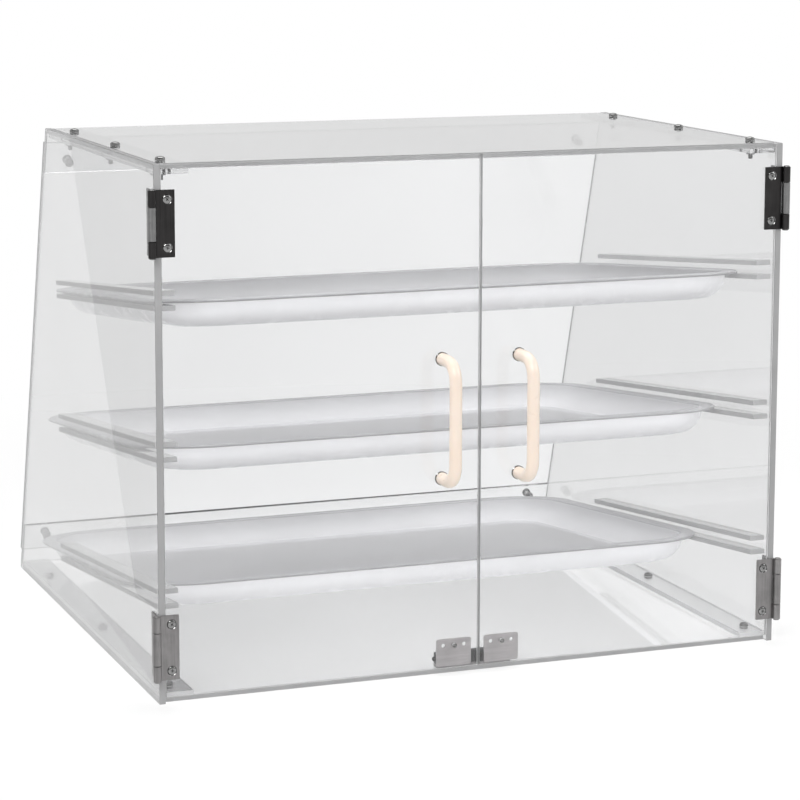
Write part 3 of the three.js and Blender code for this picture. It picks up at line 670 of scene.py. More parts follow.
def cleat(panel, name, side, screw_rows):
    low, high = (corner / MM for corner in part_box(f"{panel}_{name}_cleat"))
    hole = drill(SCREW_HOLE_RADIUS, low.z - OVERRUN, high.z + OVERRUN)
    holes = [moved(hole, shift(side * CASE_SCREW_X, y, 0)) for y in screw_rows]
    strip = strip_edges(cut(block(low, high, STRIP_BEVEL), holes))
    materials = [TOP_CLEAT, TOP_CLEAT_EDGE] if panel == "top" else [BASE_CLEATS[name], BASE_CLEAT_EDGE]
    sheet_piece(f"{panel}_{name}_cleat", strip, Matrix(), materials)


def rail(name, side):
    """A strip along the tilt, whose outer edge is glued to the side panel."""
    low, high = (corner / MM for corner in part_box(name))
    strip = strip_edges(block((low.x, 0, -RAIL_THICKNESS), (high.x, RAIL_LENGTH, 0), STRIP_BEVEL))
    for polygon in strip.polygons:
        if polygon.normal.x * side > SQUARE_SHARE:
            polygon.material_index = GLUED_INDEX
    place = shift(0, low.y + RAIL_THICKNESS * math.sin(TILT), high.z) @ Matrix.Rotation(-TILT, 4, "X")
    sheet_piece(name, strip, place, STRIP_MATERIALS)


# Trays

TRAY_HALF_WIDTH = 257.5
TRAY_LENGTH = 374.18
TRAY_CORNER = 60
TRAY_WALL_THICKNESS = 2.5
TRAY_DISH = 20
TRAY_RIM_WIDTH = 10.5
ROOT_RADIUS = 1.2
SHOULDER_RADIUS = 1.5
FLOOR_OVERLAP = 1
DISH_STEPS = 14
RIM_STEPS = 8
SHOULDER_STEPS = 5
ROOT_STEPS = 4
TRAY_SMOOTH_ANGLE = 50
# Angles in a tray's profile, from its outer edge inwards
DOWN = 270
UP = 90
OUTER_RISE = 184
INNER_RISE = 178
SHOULDER_END = 10
# Places of the materials in a tray's list
FLOOR_INDEX, WALL_INDEX, RIM_INDEX, INSIDE_INDEX = range(4)


def arc(centre, radius, start, end, steps):
    for step in range(steps + 1):
        angle = math.radians(start + (end - start) * step / steps)
        yield (centre[0] + radius * math.cos(angle), centre[1] + radius * math.sin(angle))


def tray_profile():
    """Each stretch of the skin, from the floor's underside round the rim to its upper side: its points,
    as inset from the outline and height, and its material's place."""
    centre = (TRAY_RIM_WIDTH + TRAY_DISH, 0)
    floor_inset = centre[0] + FLOOR_OVERLAP
    rim_radius = TRAY_WALL_THICKNESS / 2
    shoulder_height = TRAY_WALL_THICKNESS - SHOULDER_RADIUS
    dish_inside = TRAY_DISH - TRAY_WALL_THICKNESS
    root = (TRAY_RIM_WIDTH - ROOT_RADIUS, -ROOT_RADIUS)
    shoulder = (TRAY_RIM_WIDTH + shoulder_height, shoulder_height)
    return [
        ([(floor_inset, -TRAY_DISH)], WALL_INDEX),
        (arc(centre, TRAY_DISH, DOWN, OUTER_RISE, DISH_STEPS), WALL_INDEX),
        (arc(root, ROOT_RADIUS, 0, UP, ROOT_STEPS), WALL_INDEX),
        (arc((rim_radius, rim_radius), rim_radius, DOWN, UP, RIM_STEPS), RIM_INDEX),
        (arc(shoulder, SHOULDER_RADIUS, UP, SHOULDER_END, SHOULDER_STEPS), FLOOR_INDEX),
        (arc(centre, dish_inside, INNER_RISE, DOWN, DISH_STEPS), INSIDE_INDEX),
        ([(floor_inset, -dish_inside)], INSIDE_INDEX),
    ]


def tray_mesh():
    """The dish as one closed skin of rings, one for each point of the profile."""
    bm = bmesh.new()
    rings = []
    kinds = []
    for points, kind in tray_profile():
        for inset, height in points:
            outline = rounded_rectangle(-TRAY_HALF_WIDTH + inset, inset, TRAY_HALF_WIDTH - inset,
                                        TRAY_LENGTH - inset, TRAY_CORNER - inset, DISH_STEPS)
            rings.append([bm.verts.new((x * MM, y * MM, height * MM)) for x, y in outline])
            kinds.append(kind)
    for a, b, kind in zip(rings, rings[1:], kinds[1:]):
        first = len(bm.faces)
        join_rings(bm, [a, b])
        bm.faces.ensure_lookup_table()
        for face in bm.faces[first:]:
            face.material_index = kind
    for ring in (rings[0], rings[-1]):
        bm.faces.new(ring).material_index = FLOOR_INDEX
    return finish_mesh(bm, "tray", TRAY_SMOOTH_ANGLE)


def trays():
    mesh = tray_mesh()
    for level in LEVELS:
        low, high = (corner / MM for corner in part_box(f"{level}_tray"))
        rim_drop = TRAY_WALL_THICKNESS * math.cos(TILT)
        place = shift(0, low.y, high.z - rim_drop) @ Matrix.Rotation(-TILT, 4, "X")
        # The top tray gets its darker copies, painted shade
        materials = SHADED_TOP_TRAY_MATERIALS if level == "top" else TRAY_MATERIALS
        piece(f"{level}_tray_detail", [(mesh, place, None)], materials, f"{level}_tray")


# Screws

# Domed heads are radius, height of the rim and full height. Cross recesses are reach, width and depth.
SCREW_RADIUS = 2
SCREW_PITCH = 0.7
WASHER_THICKNESS = 0.45
WASHER_BORE_RADIUS = 2.1
WASHER_EASE = 0.15
NUT_FLATS = 7
NUT_HEIGHT = 3.2
NUT_BEVEL = 0.25
NUT_EASE = 0.55
NUT_EASE_DROP = 0.33
NUT_SLACK = 0.02
DOME_STEPS = 8
CASE_HEAD = (4, 0.7, 2.55)
CASE_CROSS = (1.9, 0.75, 1.3)
CASE_SHANK_TOP = 0.5
# From a screw's seat through a panel and its cleat
CLEAT_GRIP = 2 * (SHEET + SEAT_GAP)
TOP_SCREW_BEYOND = 3.6
FRONT_GRIP = 2 * SHEET + FRONT_GAP + SEAT_GAP
FRONT_SCREW_BEYOND = 1
# The base screws: a countersunk head below, a flanged cap nut above
SUNK_LIFT = 0.2
SUNK_RADIUS = 3.8
SUNK_RIM = 0.15
SUNK_TOP = 2.4
SUNK_CROSS = (1.8, 0.75, 1.2)
CAP_LIFT = 0.5
CAP_HEAD = (3.3, 1.0, 2.5)
FLANGE_RADIUS = 4
FLANGE_HEIGHT = 0.8
FLANGE_SHARES = [(0, 0), (0.975, 0), (1, 0.1875), (1, 0.875), (0.9, 1), (0, 1)]
BASE_SHANK_RADIUS = 1.95
# Shares of a thread's radius and pitch
THREAD_TIP_SHARE = 0.75
THREAD_ROOT_SHARE = 0.86
THREAD_CREST_SHARES = (0.35, 0.5)
THREAD_VALLEY_SHARE = 0.85
THREAD_CHAMFER = 0.3
THREAD_SMOOTH_ANGLE = 25
# The recess narrows to this share, and its faces are found within these distances of it
CROSS_FOOT_SHARE = 0.45
RECESS_MARGIN = 0.3
RECESS_FLOOR_MARGIN = 0.1
RECESS_FLOOR_SLACK = 0.05
RECESS_TOP_MARGIN = 0.15
RECESS_WALL_SHARE = 0.8
# Turns that keep the recesses from standing alike, in degrees
PLACE_SPIN = 23
SIDE_SPIN = 40
FRONT_SPIN = 17


def dome(radius, rim, height, seat):
    points = [(radius, seat)]
    for step in range(DOME_STEPS):
        angle = math.pi / 2 * step / DOME_STEPS
        points.append((radius * math.cos(angle), seat + rim + (height - rim) * math.sin(angle)))
    points.append((0, seat + height))
    return points


def cross_tool(cross, top):
    """The cutter for a cross recess: four tapering wings and a point, around Z."""
    reach, width, depth = cross
    outline = []
    for quarter in range(4):
        spin = Matrix.Rotation(math.pi / 2 * quarter, 2)
        outline += [spin @ Vector(corner)
                    for corner in ((reach, -width / 2), (reach, width / 2), (width / 2, width / 2))]
    bm = bmesh.new()
    foot = CROSS_FOOT_SHARE
    upper = [bm.verts.new((x * MM, y * MM, (top + OVERRUN) * MM)) for x, y in outline]
    lower = [bm.verts.new((x * MM * foot, y * MM * foot, (top - depth) * MM)) for x, y in outline]
    bm.faces.new(upper)
    bm.faces.new(lower)
    join_rings(bm, [lower, upper])
    return finish_mesh(bm, "cross")


def recessed_head(profile, cross, top, metal=0, sides=HEAD_SIDES):
    """A turned head with a cross recess. The recess's faces get the material after the metal's."""
    head = cut(lathe(profile, sides), [cross_tool(cross, top)])
    reach, width, depth = cross
    foot = top - depth
    for polygon in head.polygons:
        x, y, z = polygon.center / MM
        in_depth = foot - RECESS_FLOOR_MARGIN < z < top - RECESS_TOP_MARGIN
        inside = math.hypot(x, y) < reach + RECESS_MARGIN and in_depth
        is_wall = abs(polygon.normal.z) < RECESS_WALL_SHARE
        in_recess = inside and (is_wall or z < foot + RECESS_FLOOR_SLACK)
        polygon.material_index = metal + int(in_recess)
    return head


def thread(radius, z0, z1, pitch):
    """A shank with thread crests, from the lower to the upper height, with a chamfered lower end."""
    root = radius * THREAD_ROOT_SHARE
    z = z0 + THREAD_CHAMFER
    profile = [(0, z0), (radius * THREAD_TIP_SHARE, z0), (root, z)]
    while z + pitch < z1:
        profile += [(radius, z + pitch * share) for share in THREAD_CREST_SHARES]
        profile.append((root, z + pitch * THREAD_VALLEY_SHARE))
        z += pitch
    profile += [(root, z1), (0, z1)]
    return lathe(profile, THREAD_SIDES, THREAD_SMOOTH_ANGLE)


def hex_nut(across_flats, z0, z1):
    """A six-sided nut with rounded-off corners above and below."""
    corner = across_flats / 2 / math.cos(math.pi / 6)
    body = prism([(corner * x, corner * y) for x, y in circle(6)], z0, z1, NUT_BEVEL)
    around = bar(corner + 2 * OVERRUN, z0 - OVERRUN, z1 + OVERRUN, BARREL_SIDES)
    keep = lathe([
        (0, z0), (corner - NUT_EASE, z0), (corner + NUT_SLACK, z0 + NUT_EASE_DROP),
        (corner + NUT_SLACK, z1 - NUT_EASE_DROP), (corner - NUT_EASE, z1), (0, z1)], BARREL_SIDES)
    return cut(body, [cut(around, [keep])])


def washer(inner, outer, z0, z1):
    ring = eased_bar(outer, z0, z1, WASHER_EASE, HEAD_SIDES)
    return cut(ring, [drill(inner, z0 - OVERRUN, z1 + OVERRUN)])


def nutted_screw_parts(grip, beyond):
    """The seat is at zero, the head above it, the nut below the grip."""
    radius, rim, height = CASE_HEAD
    nut_top = -grip - SEAT_GAP
    nut_bottom = nut_top - NUT_HEIGHT
    profile = [(0, WASHER_THICKNESS)] + dome(radius, rim, height, WASHER_THICKNESS)
    return [
        (recessed_head(profile, CASE_CROSS, WASHER_THICKNESS + height), Matrix(), None),
        (washer(WASHER_BORE_RADIUS, radius, 0, WASHER_THICKNESS), Matrix(), 0),
        (thread(SCREW_RADIUS, nut_bottom - beyond, CASE_SHANK_TOP, SCREW_PITCH), Matrix(), 0),
        (hex_nut(NUT_FLATS, nut_bottom, nut_top), Matrix(), 0),
    ]


def base_screw_parts():
    """The head's face is just above zero, and the cap nut is above its seat."""
    flange = [(out * FLANGE_RADIUS, CLEAT_GRIP + up * FLANGE_HEIGHT) for out, up in FLANGE_SHARES]
    cap_foot = CLEAT_GRIP + CAP_LIFT
    head = lathe([(0, SUNK_LIFT), (SUNK_RADIUS, SUNK_LIFT), (SUNK_RADIUS, SUNK_LIFT + SUNK_RIM),
                  (SCREW_RADIUS, SUNK_TOP), (0, SUNK_TOP)], HEAD_SIDES)
    recess = moved(cross_tool(SUNK_CROSS, -SUNK_LIFT), turn(180, "X"))
    shank = bar(BASE_SHANK_RADIUS, SUNK_TOP - JOIN, CLEAT_GRIP + JOIN, SHANK_SIDES)
    meshes = [
        lathe(flange, HEAD_SIDES),
        lathe([(0, cap_foot)] + dome(*CAP_HEAD, cap_foot), HEAD_SIDES),
        cut(head, [recess]),
        shank,
    ]
    return [(mesh, Matrix(), 0) for mesh in meshes]


def placed(parts, place):
    return [(mesh, place @ matrix, index) for mesh, matrix, index in parts]


def case_screws():
    top_parts = nutted_screw_parts(CLEAT_GRIP, TOP_SCREW_BEYOND)
    front_parts = nutted_screw_parts(FRONT_GRIP, FRONT_SCREW_BEYOND)
    base_parts = base_screw_parts()
    steel = [BRIGHT, SHADED_RECESS]
    for name, side in SIDES.items():
        x = side * CASE_SCREW_X
        for count, (place, top_y, base_y) in enumerate(zip(PLACES, TOP_SCREW_Y, BASE_SCREW_Y), 1):
            spin = turn(PLACE_SPIN * count + SIDE_SPIN * side, "Z")
            top_seat = shift(x, top_y, CASE_HEIGHT + SEAT_GAP)
            base_seat = shift(x, base_y, 0)
            piece(f"top_{name}_{place}_screw_detail", placed(top_parts, top_seat @ spin),
                  steel, "case")
            piece(f"base_{name}_{place}_screw_detail", placed(base_parts, base_seat @ spin),
                  steel, "case")
        for place, height in FRONT_SCREW_HEIGHTS.items():
            out = SHEET + FRONT_GAP + SEAT_GAP
            seat = SLANTED @ shift(side * FRONT_SCREW_X, out, height) @ turn(-90, "X")
            piece(f"front_{place}_{name}_screw_detail", placed(front_parts, seat @ turn(FRONT_SPIN, "Z")),
                  steel, "case")


# Hinges, around the rear corner of each side: X points out of the side and Y into the case

LEAF_HEIGHT = 51.5
LEAF_WIDTH = 16
LEAF_THICKNESS = 1.2
LEAF_BEVEL = 0.2
LEAF_CORNER = 0.5
LEAF_STEP_CORNER = 0.3
LEAF_CORNER_STEPS = 5
DOOR_NOTCH_DEPTH = 3.7
SIDE_NOTCH_DEPTH = 3.8
KNUCKLE_RADIUS = 3.25
KNUCKLE_EASE = 0.25
KNUCKLE_BORE_RADIUS = 1.6
KNUCKLE_GAP = 0.3
MIDDLE_HALF = LEAF_HEIGHT / 4
AXIS_OUT = 2.3
AXIS_BACK = 3
SINK_BORE_RADIUS = 2.4
SINK_RADIUS = 3.95
SINK_SLACK = 0.02
SINK_REACH = 4.2
SINK_WALL_SHARE = 0.95
LEAF_HEAD = (3.3, 0, 0.8)
LEAF_CROSS = (1.9, 0.75, 1.1)
LEAF_SHANK_RADIUS = 1.9
LEAF_SHANK_TOP = 0.2
LEAF_SCREW_BEYOND = 0.7
# Turns of the lower and the upper screw's recess, in degrees
DOOR_LEAF_SPINS = {-1: -11, 1: 51}
SIDE_LEAF_SPINS = {-1: 77, 1: 23}
PIN_RADIUS = 1.5
PIN_HEAD = (2.6, 0.35, 1)


def leaf_plate(x1, notch_half, notch_depth, notched):
    """A leaf's plate in its own plane: height along Y, hinge side at x1, with rounded free corners. It has
    room for the middle knuckle, or else a tongue that carries it."""
    x0 = -LEAF_WIDTH
    half = LEAF_HEIGHT / 2
    step = x1 - notch_depth
    end, middle = (x1, step) if notched else (step, x1)
    end_corner = LEAF_STEP_CORNER if notched else LEAF_CORNER
    middle_corner = LEAF_CORNER if notched else LEAF_STEP_CORNER
    outline = rounded([
        (x0, -half, LEAF_CORNER), (end, -half, end_corner),
        (end, -notch_half, LEAF_STEP_CORNER), (middle, -notch_half, middle_corner),
        (middle, notch_half, middle_corner), (end, notch_half, LEAF_STEP_CORNER),
        (end, half, end_corner), (x0, half, LEAF_CORNER)], LEAF_CORNER_STEPS)
    sink_top = LEAF_THICKNESS + OVERRUN
    sink = lathe([
        (0, -OVERRUN), (SINK_BORE_RADIUS, -OVERRUN), (SINK_BORE_RADIUS, 0),
        (SINK_RADIUS, LEAF_THICKNESS + SINK_SLACK), (SINK_RADIUS, sink_top), (0, sink_top)], HEAD_SIDES)
    sinks = [moved(sink, shift(-LEAF_SCREW_INSET, way * LEAF_SCREW_HALF_SPACING, 0)) for way in (-1, 1)]
    plate = cut(prism(outline, 0, LEAF_THICKNESS, LEAF_BEVEL), sinks)
    for polygon in plate.polygons:
        x, y, z = polygon.center / MM
        from_screw = math.hypot(x + LEAF_SCREW_INSET, abs(y) - LEAF_SCREW_HALF_SPACING)
        polygon.material_index = int(from_screw < SINK_REACH and abs(polygon.normal.z) < SINK_WALL_SHARE)
    return plate


def knuckle(z0, z1):
    """One segment of the rolled barrel, with eased ends and a bore for the pin."""
    barrel = eased_bar(KNUCKLE_RADIUS, z0, z1, KNUCKLE_EASE, BARREL_SIDES)
    return cut(barrel, [drill(KNUCKLE_BORE_RADIUS, z0 - OVERRUN, z1 + OVERRUN)])


def leaf_screw_parts(sheet):
    """A countersunk screw, through a sheet, whose low round head stands a little proud of the leaf."""
    radius, rim, height = LEAF_HEAD
    seat = LEAF_THICKNESS - SEAT_GAP
    profile = [(0, 0), (SCREW_RADIUS, 0), (radius, seat - SEAT_GAP)] + dome(radius, rim, height, seat)
    head = recessed_head(profile, LEAF_CROSS, seat + height, 1)
    end = LEAF_THICKNESS - (sheet + LEAF_SCREW_BEYOND)
    shank = thread(LEAF_SHANK_RADIUS, end, LEAF_SHANK_TOP, SCREW_PITCH)
    return [(head, Matrix(), None), (shank, Matrix(), 1)]


def hinge(name, side, place, height, steel, side_steel):
    corner = shift(side * CASE_HALF_WIDTH, REAR_Y, height)
    axis = corner @ shift(side * AXIS_OUT, -AXIS_BACK, 0)
    # Door leaf: lies on the door's outer face and reaches to the outer knuckles
    to_door = corner @ shift(0, -SEAT_GAP, 0) @ axes((side, 0, 0), (0, 0, 1), (0, -1, 0))
    inner_end = MIDDLE_HALF + KNUCKLE_GAP
    parts = [(leaf_plate(AXIS_OUT, inner_end, DOOR_NOTCH_DEPTH, True), to_door, None)]
    for z0, z1 in ((-LEAF_HEIGHT / 2, -inner_end), (inner_end, LEAF_HEIGHT / 2)):
        parts.append((knuckle(z0, z1), axis, 0))
    for end, spin in DOOR_LEAF_SPINS.items():
        seat = corner @ shift(-side * LEAF_SCREW_INSET, -SEAT_GAP, end * LEAF_SCREW_HALF_SPACING)
        parts += placed(leaf_screw_parts(SHEET), seat @ turn(90, "X") @ turn(spin, "Z"))
    piece(f"{name}_{place}_hinge_door_leaf_detail", parts, [steel, BRIGHT, SHADED_RECESS], f"{name}_door")
    # Side leaf: lies on the side panel's outer face and reaches to the middle knuckle
    to_side = corner @ shift(side * SEAT_GAP, 0, 0) @ axes((0, -1, 0), (0, 0, 1), (side, 0, 0))
    parts = [(leaf_plate(AXIS_BACK, MIDDLE_HALF, SIDE_NOTCH_DEPTH, False), to_side, None),
             (knuckle(-MIDDLE_HALF, MIDDLE_HALF), axis, 0)]
    for end, spin in SIDE_LEAF_SPINS.items():
        seat = corner @ shift(side * SEAT_GAP, LEAF_SCREW_INSET, end * LEAF_SCREW_HALF_SPACING)
        parts += placed(leaf_screw_parts(SIDE_THICKNESS), seat @ turn(side * 90, "Y") @ turn(spin, "Z"))
    piece(f"{name}_{place}_hinge_side_leaf_detail", parts, [side_steel, BRIGHT, SHADED_RECESS], "case")
    # Pin: a plain shank with a low domed head at each end
    seat = LEAF_HEIGHT / 2 + SEAT_GAP
    cap = lathe([(0, seat)] + dome(*PIN_HEAD, seat), HOLE_SIDES)
    shank = bar(PIN_RADIUS, -seat - JOIN, seat + JOIN, SHANK_SIDES)
    parts = [(cap, axis, 0), (cap, axis @ turn(180, "X"), 0), (shank, axis, 0)]
    piece(f"{name}_{place}_hinge_pin_detail", parts, [side_steel], "case")


def hinges():
    for name, side in SIDES.items():
        for place, height in HINGE_HEIGHTS.items():
            if place == "upper":
                hinge(name, side, place, height, DARK, GUNMETAL)
            else:
                hinge(name, side, place, height, SATIN, SATIN)


# Door fittings

HANDLE_REACH = 30
HANDLE_BEND = 18
HANDLE_RADIUS = 5
HANDLE_FOOT = 0.9
HANDLE_FOOT_END = 6
HANDLE_BEND_STEPS = 14
HANDLE_GRIP_HEIGHTS = (20, 10, 0)
HANDLE_HEAD = (3.8, 0.8, 2.2)
HANDLE_CROSS = (1.9, 0.75, 1.2)
HANDLE_SHANK_END = 4.4
HANDLE_SHANK_TOP = 0.3
HANDLE_SPIN = 30
RING_RADIUS = 5.6
RING_HEIGHT = 1.6
RING_EASE = 0.15
RING_GROOVE = 0.2
RING_GROOVE_START = 0.5
RING_GROOVE_END = 1.15
STRIKE_HALF_WIDTH = 15
STRIKE_HEIGHT = 22.5
STRIKE_CORNER = 2
STRIKE_THICKNESS = 1.2
STRIKE_BEVEL = 0.18
STRIKE_OPEN_HOLE_X = 9
STRIKE_OPEN_HOLE_RADIUS = 1.6
STRIKE_SCREW_HOLE_RADIUS = 1.9
STRIKE_HEAD = (2.8, 0.2, 1.4)
STRIKE_CROSS = (1.5, 0.6, 0.9)
STRIKE_SHANK_RADIUS = 1.5
STRIKE_SHANK_END = 4.6
STRIKE_PITCH = 0.6
STRIKE_SPIN = 12


def handle_path():
    """The bow's middle line: straight feet, round bends and a straight grip, from the upper foot down."""
    half, reach = HANDLE_HALF_SPACING, HANDLE_REACH
    points = [Vector((0, -HANDLE_FOOT, half)), Vector((0, -HANDLE_FOOT_END, half))]
    a, b, c = (Vector((0, HANDLE_BEND - reach, half)), Vector((0, -reach, half)),
               Vector((0, -reach, half - HANDLE_BEND)))
    for step in range(HANDLE_BEND_STEPS + 1):
        t = step / HANDLE_BEND_STEPS
        points.append(a * (1 - t) ** 2 + b * 2 * t * (1 - t) + c * t ** 2)
    points += [Vector((0, -reach, z)) for z in HANDLE_GRIP_HEIGHTS]
    return points + [Vector((0, p.y, -p.z)) for p in reversed(points[:-1])]


def handle_ring():
    """The ring at a handle's foot, with a shallow groove round it."""
    return lathe([
        (0, 0), (RING_RADIUS - RING_EASE, 0), (RING_RADIUS, RING_EASE),
        (RING_RADIUS, RING_GROOVE_START), (RING_RADIUS - RING_GROOVE, RING_GROOVE_START + RING_GROOVE),
        (RING_RADIUS - RING_GROOVE, RING_GROOVE_END - RING_GROOVE), (RING_RADIUS, RING_GROOVE_END),
        (RING_RADIUS, RING_HEIGHT - RING_EASE), (RING_RADIUS - RING_EASE, RING_HEIGHT), (0, RING_HEIGHT)],
        BARREL_SIDES)


def handle(name, side):
    place = shift(side * HANDLE_X, REAR_Y, CASE_HEIGHT / 2)
    parts = [(tube(handle_path(), HANDLE_RADIUS, HOLE_SIDES), place, 0)]
    ring = handle_ring()
    head = recessed_head([(0, 0)] + dome(*HANDLE_HEAD, 0), HANDLE_CROSS, HANDLE_HEAD[2], 1)
    shank = thread(SCREW_RADIUS, -HANDLE_SHANK_END, HANDLE_SHANK_TOP, SCREW_PITCH)
    for z in (-HANDLE_HALF_SPACING, HANDLE_HALF_SPACING):
        foot = place @ shift(0, -SEAT_GAP, z) @ turn(90, "X")
        back = place @ shift(0, SHEET + SEAT_GAP, z) @ turn(-90, "X")
        parts += [(ring, foot, 1), (shank, back, 1), (head, back @ turn(HANDLE_SPIN, "Z"), None)]
    piece(f"{name}_door_handle_detail", parts, [CREAM, BRIGHT, SHADED_RECESS], f"{name}_door")


def strike_plate(name, side):
    """A plate with a screw between two open holes, on the door's inner face."""
    outline = rounded_rectangle(-STRIKE_HALF_WIDTH, 0, STRIKE_HALF_WIDTH, STRIKE_HEIGHT, STRIKE_CORNER)
    plate = prism(outline, 0, STRIKE_THICKNESS, STRIKE_BEVEL)
    open_hole = drill(STRIKE_OPEN_HOLE_RADIUS, -OVERRUN, STRIKE_THICKNESS + OVERRUN)
    tools = [moved(open_hole, shift(end * STRIKE_OPEN_HOLE_X, STRIKE_SCREW_HEIGHT, 0)) for end in (-1, 1)]
    screw_hole = drill(STRIKE_SCREW_HOLE_RADIUS, -OVERRUN, STRIKE_THICKNESS + OVERRUN)
    tools.append(moved(screw_hole, shift(0, STRIKE_SCREW_HEIGHT, 0)))
    plate = moved(cut(plate, tools), axes((1, 0, 0), (0, 0, 1), (0, 1, 0)))
    place = shift(side * STRIKE_X, REAR_Y + SHEET + SEAT_GAP, STRIKE_BOTTOM)
    head = recessed_head([(0, 0)] + dome(*STRIKE_HEAD, 0), STRIKE_CROSS, STRIKE_HEAD[2], 1, HOLE_SIDES)
    shank = thread(STRIKE_SHANK_RADIUS, -STRIKE_SHANK_END, JOIN, STRIKE_PITCH)
    seat = place @ shift(0, STRIKE_THICKNESS, STRIKE_SCREW_HEIGHT) @ turn(-90, "X")
    parts = [(plate, place, 0), (head, seat @ turn(STRIKE_SPIN, "Z"), None), (shank, seat, 1)]
    piece(f"{name}_strike_plate_detail", parts, [PLATE, BRIGHT, SHADED_RECESS], f"{name}_door")


# Magnetic catch, on the base panel between the doors

CATCH_LEFT_X = -34
CATCH_RIGHT_X = 30
CATCH_FOOT_BACK = 1
CATCH_FOOT_HEIGHT = 2.6
CATCH_FOOT_BEVEL = 0.3
CATCH_BODY_BACK = 0.6
CATCH_BODY_BEVEL = 0.8
CATCH_BODY_SEGMENTS = 3
MAGNET_XS = (-18, 14)
MAGNET_HALF_WIDTH = 10
MAGNET_LIFT = 4
MAGNET_DROP = 1.5
MAGNET_DEPTH = 1.5
MAGNET_BEVEL = 0.25
KNOB_HEAD = (2.2, 0.4, 2.9)
KNOB_ROOT = 3
KNOB_HEIGHT = 7.2
KNOB_BACK = 0.3


def magnetic_catch():
    low, high = (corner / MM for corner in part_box("magnetic_catch"))
    x0, x1 = CATCH_LEFT_X, CATCH_RIGHT_X
    foot_top = low.z + CATCH_FOOT_HEIGHT
    foot = block((x0, low.y + CATCH_FOOT_BACK, low.z), (x1, high.y, foot_top), CATCH_FOOT_BEVEL)
    body = block((x0, low.y + CATCH_BODY_BACK, foot_top - JOIN), (x1, high.y, high.z),
                 CATCH_BODY_BEVEL, CATCH_BODY_SEGMENTS)
    parts = [(foot, Matrix(), 1), (body, Matrix(), 0)]
    for x in MAGNET_XS:
        magnet = block((x - MAGNET_HALF_WIDTH, low.y, low.z + MAGNET_LIFT),
                       (x + MAGNET_HALF_WIDTH, low.y + MAGNET_DEPTH, high.z - MAGNET_DROP), MAGNET_BEVEL)
        parts.append((magnet, Matrix(), 2))
    radius, rim, height = KNOB_HEAD
    knob = lathe([(0, -KNOB_ROOT), (radius, -KNOB_ROOT), (radius, -rim)] + dome(radius, rim, height, 0)[1:],
                 SHANK_SIDES)
    knob_y = (low.y + high.y) / 2 + KNOB_BACK
    for x, degrees in ((x0, -90), (x1, 90)):
        parts.append((knob, shift(x, knob_y, low.z + KNOB_HEIGHT) @ turn(degrees, "Y"), 2))
    piece("magnetic_catch_detail", parts, [BLACK, SATIN, DARK], "case")


# The object

for side_name, side_sign in SIDES.items():
    side_panel(side_name, side_sign)
    door_panel(side_name, side_sign)
    handle(side_name, side_sign)
    strike_plate(side_name, side_sign)
    cleat("top", side_name, side_sign, TOP_SCREW_Y)
    cleat("base", side_name, side_sign, BASE_SCREW_Y)
    for level_name in LEVELS:
        rail(f"{level_name}_{side_name}_upper_rail", side_sign)
        rail(f"{level_name}_{side_name}_lower_rail", side_sign)
bent_panels()
front_panel()
trays()
case_screws()
hinges()
magnetic_catch()


# Floor, sky and lamps, in metres

FLOOR_TONE = 0.3
FLOOR_GLOW = 0.68
FLOOR_RADIUS = 9
FLOOR_SIDES = 64
FLOOR_DROP = 0.0003
FADE_START = 0.45
FADE_END = 1.1
# A glowing card, seen only mirrored, paints a darker reflection into the left side panel
CARD_HEIGHT = 0.002
REFLECTION_CARD_GLOW = 0.72
CARD_CORNERS = ((-0.34, -0.6), (-0.34, 0.1), (-1.55, 5.2), (-4.5, 5.2), (-2.5, -0.6))
SKY_LIGHT = 0.38
# Height, as a share, and tone of the bands that mirror images show
MIRRORED_BANDS = ((0.14, 0.8), (0.19, 0.06), (0.42, 0.06), (0.48, 1), (0.74, 1), (0.80, 0.10))
# Place, size and power of each lamp, and the point that they all face
LAMPS = {
    "key": ((-1.5, -2.0, 2.3), (1.6, 1.2), 54),
    "fill": ((2.2, -1.2, 1.6), (1.4, 1.4), 20),
    "top": ((0.2, 0.6, 2.6), (2.0, 1.4), 32),
}
LAMP_AIM = (0, 0, 0.2)


def seen_directly(tree):
    """1 where the camera, a reflection or a view through clear sheet looks, 0 for the light itself."""
    path = tree.add("LightPath").outputs
    total = path["Is Camera Ray"]
    for name in ("Is Glossy Ray", "Is Transmission Ray"):
        total = tree.math("MAXIMUM", total, path[name])
    return total


def floor():
    """A pale floor that, away from the case, fades into the plain backdrop."""
    bm = bmesh.new()
    bmesh.ops.create_circle(bm, cap_ends=True, radius=FLOOR_RADIUS, segments=FLOOR_SIDES)
    obj = add_object("floor", to_mesh(bm, "floor"))
    obj.location.z = -FLOOR_DROP
    s = Surface("floor")
    s.set(Base_Color=grey(FLOOR_TONE), Roughness=1, Specular_IOR_Level=0,
          Emission_Color=grey(1), Emission_Strength=FLOOR_GLOW)
    distance = s.fill(s.add("VectorMath"), {0: s.place})
    distance.operation = "LENGTH"
    fade = s.add("MapRange", Value=distance.outputs["Value"], From_Min=FADE_START, From_Max=FADE_END)
    fade.interpolation_type = "SMOOTHSTEP"
    plain = s.math("MULTIPLY", seen_directly(s), fade.outputs["Result"])
    backdrop = s.add("Emission").outputs["Emission"]
    s.fill(s.output, {"Surface": s.shaders(plain, s.shader.outputs["BSDF"], backdrop)})
    obj.data.materials.append(s.material)


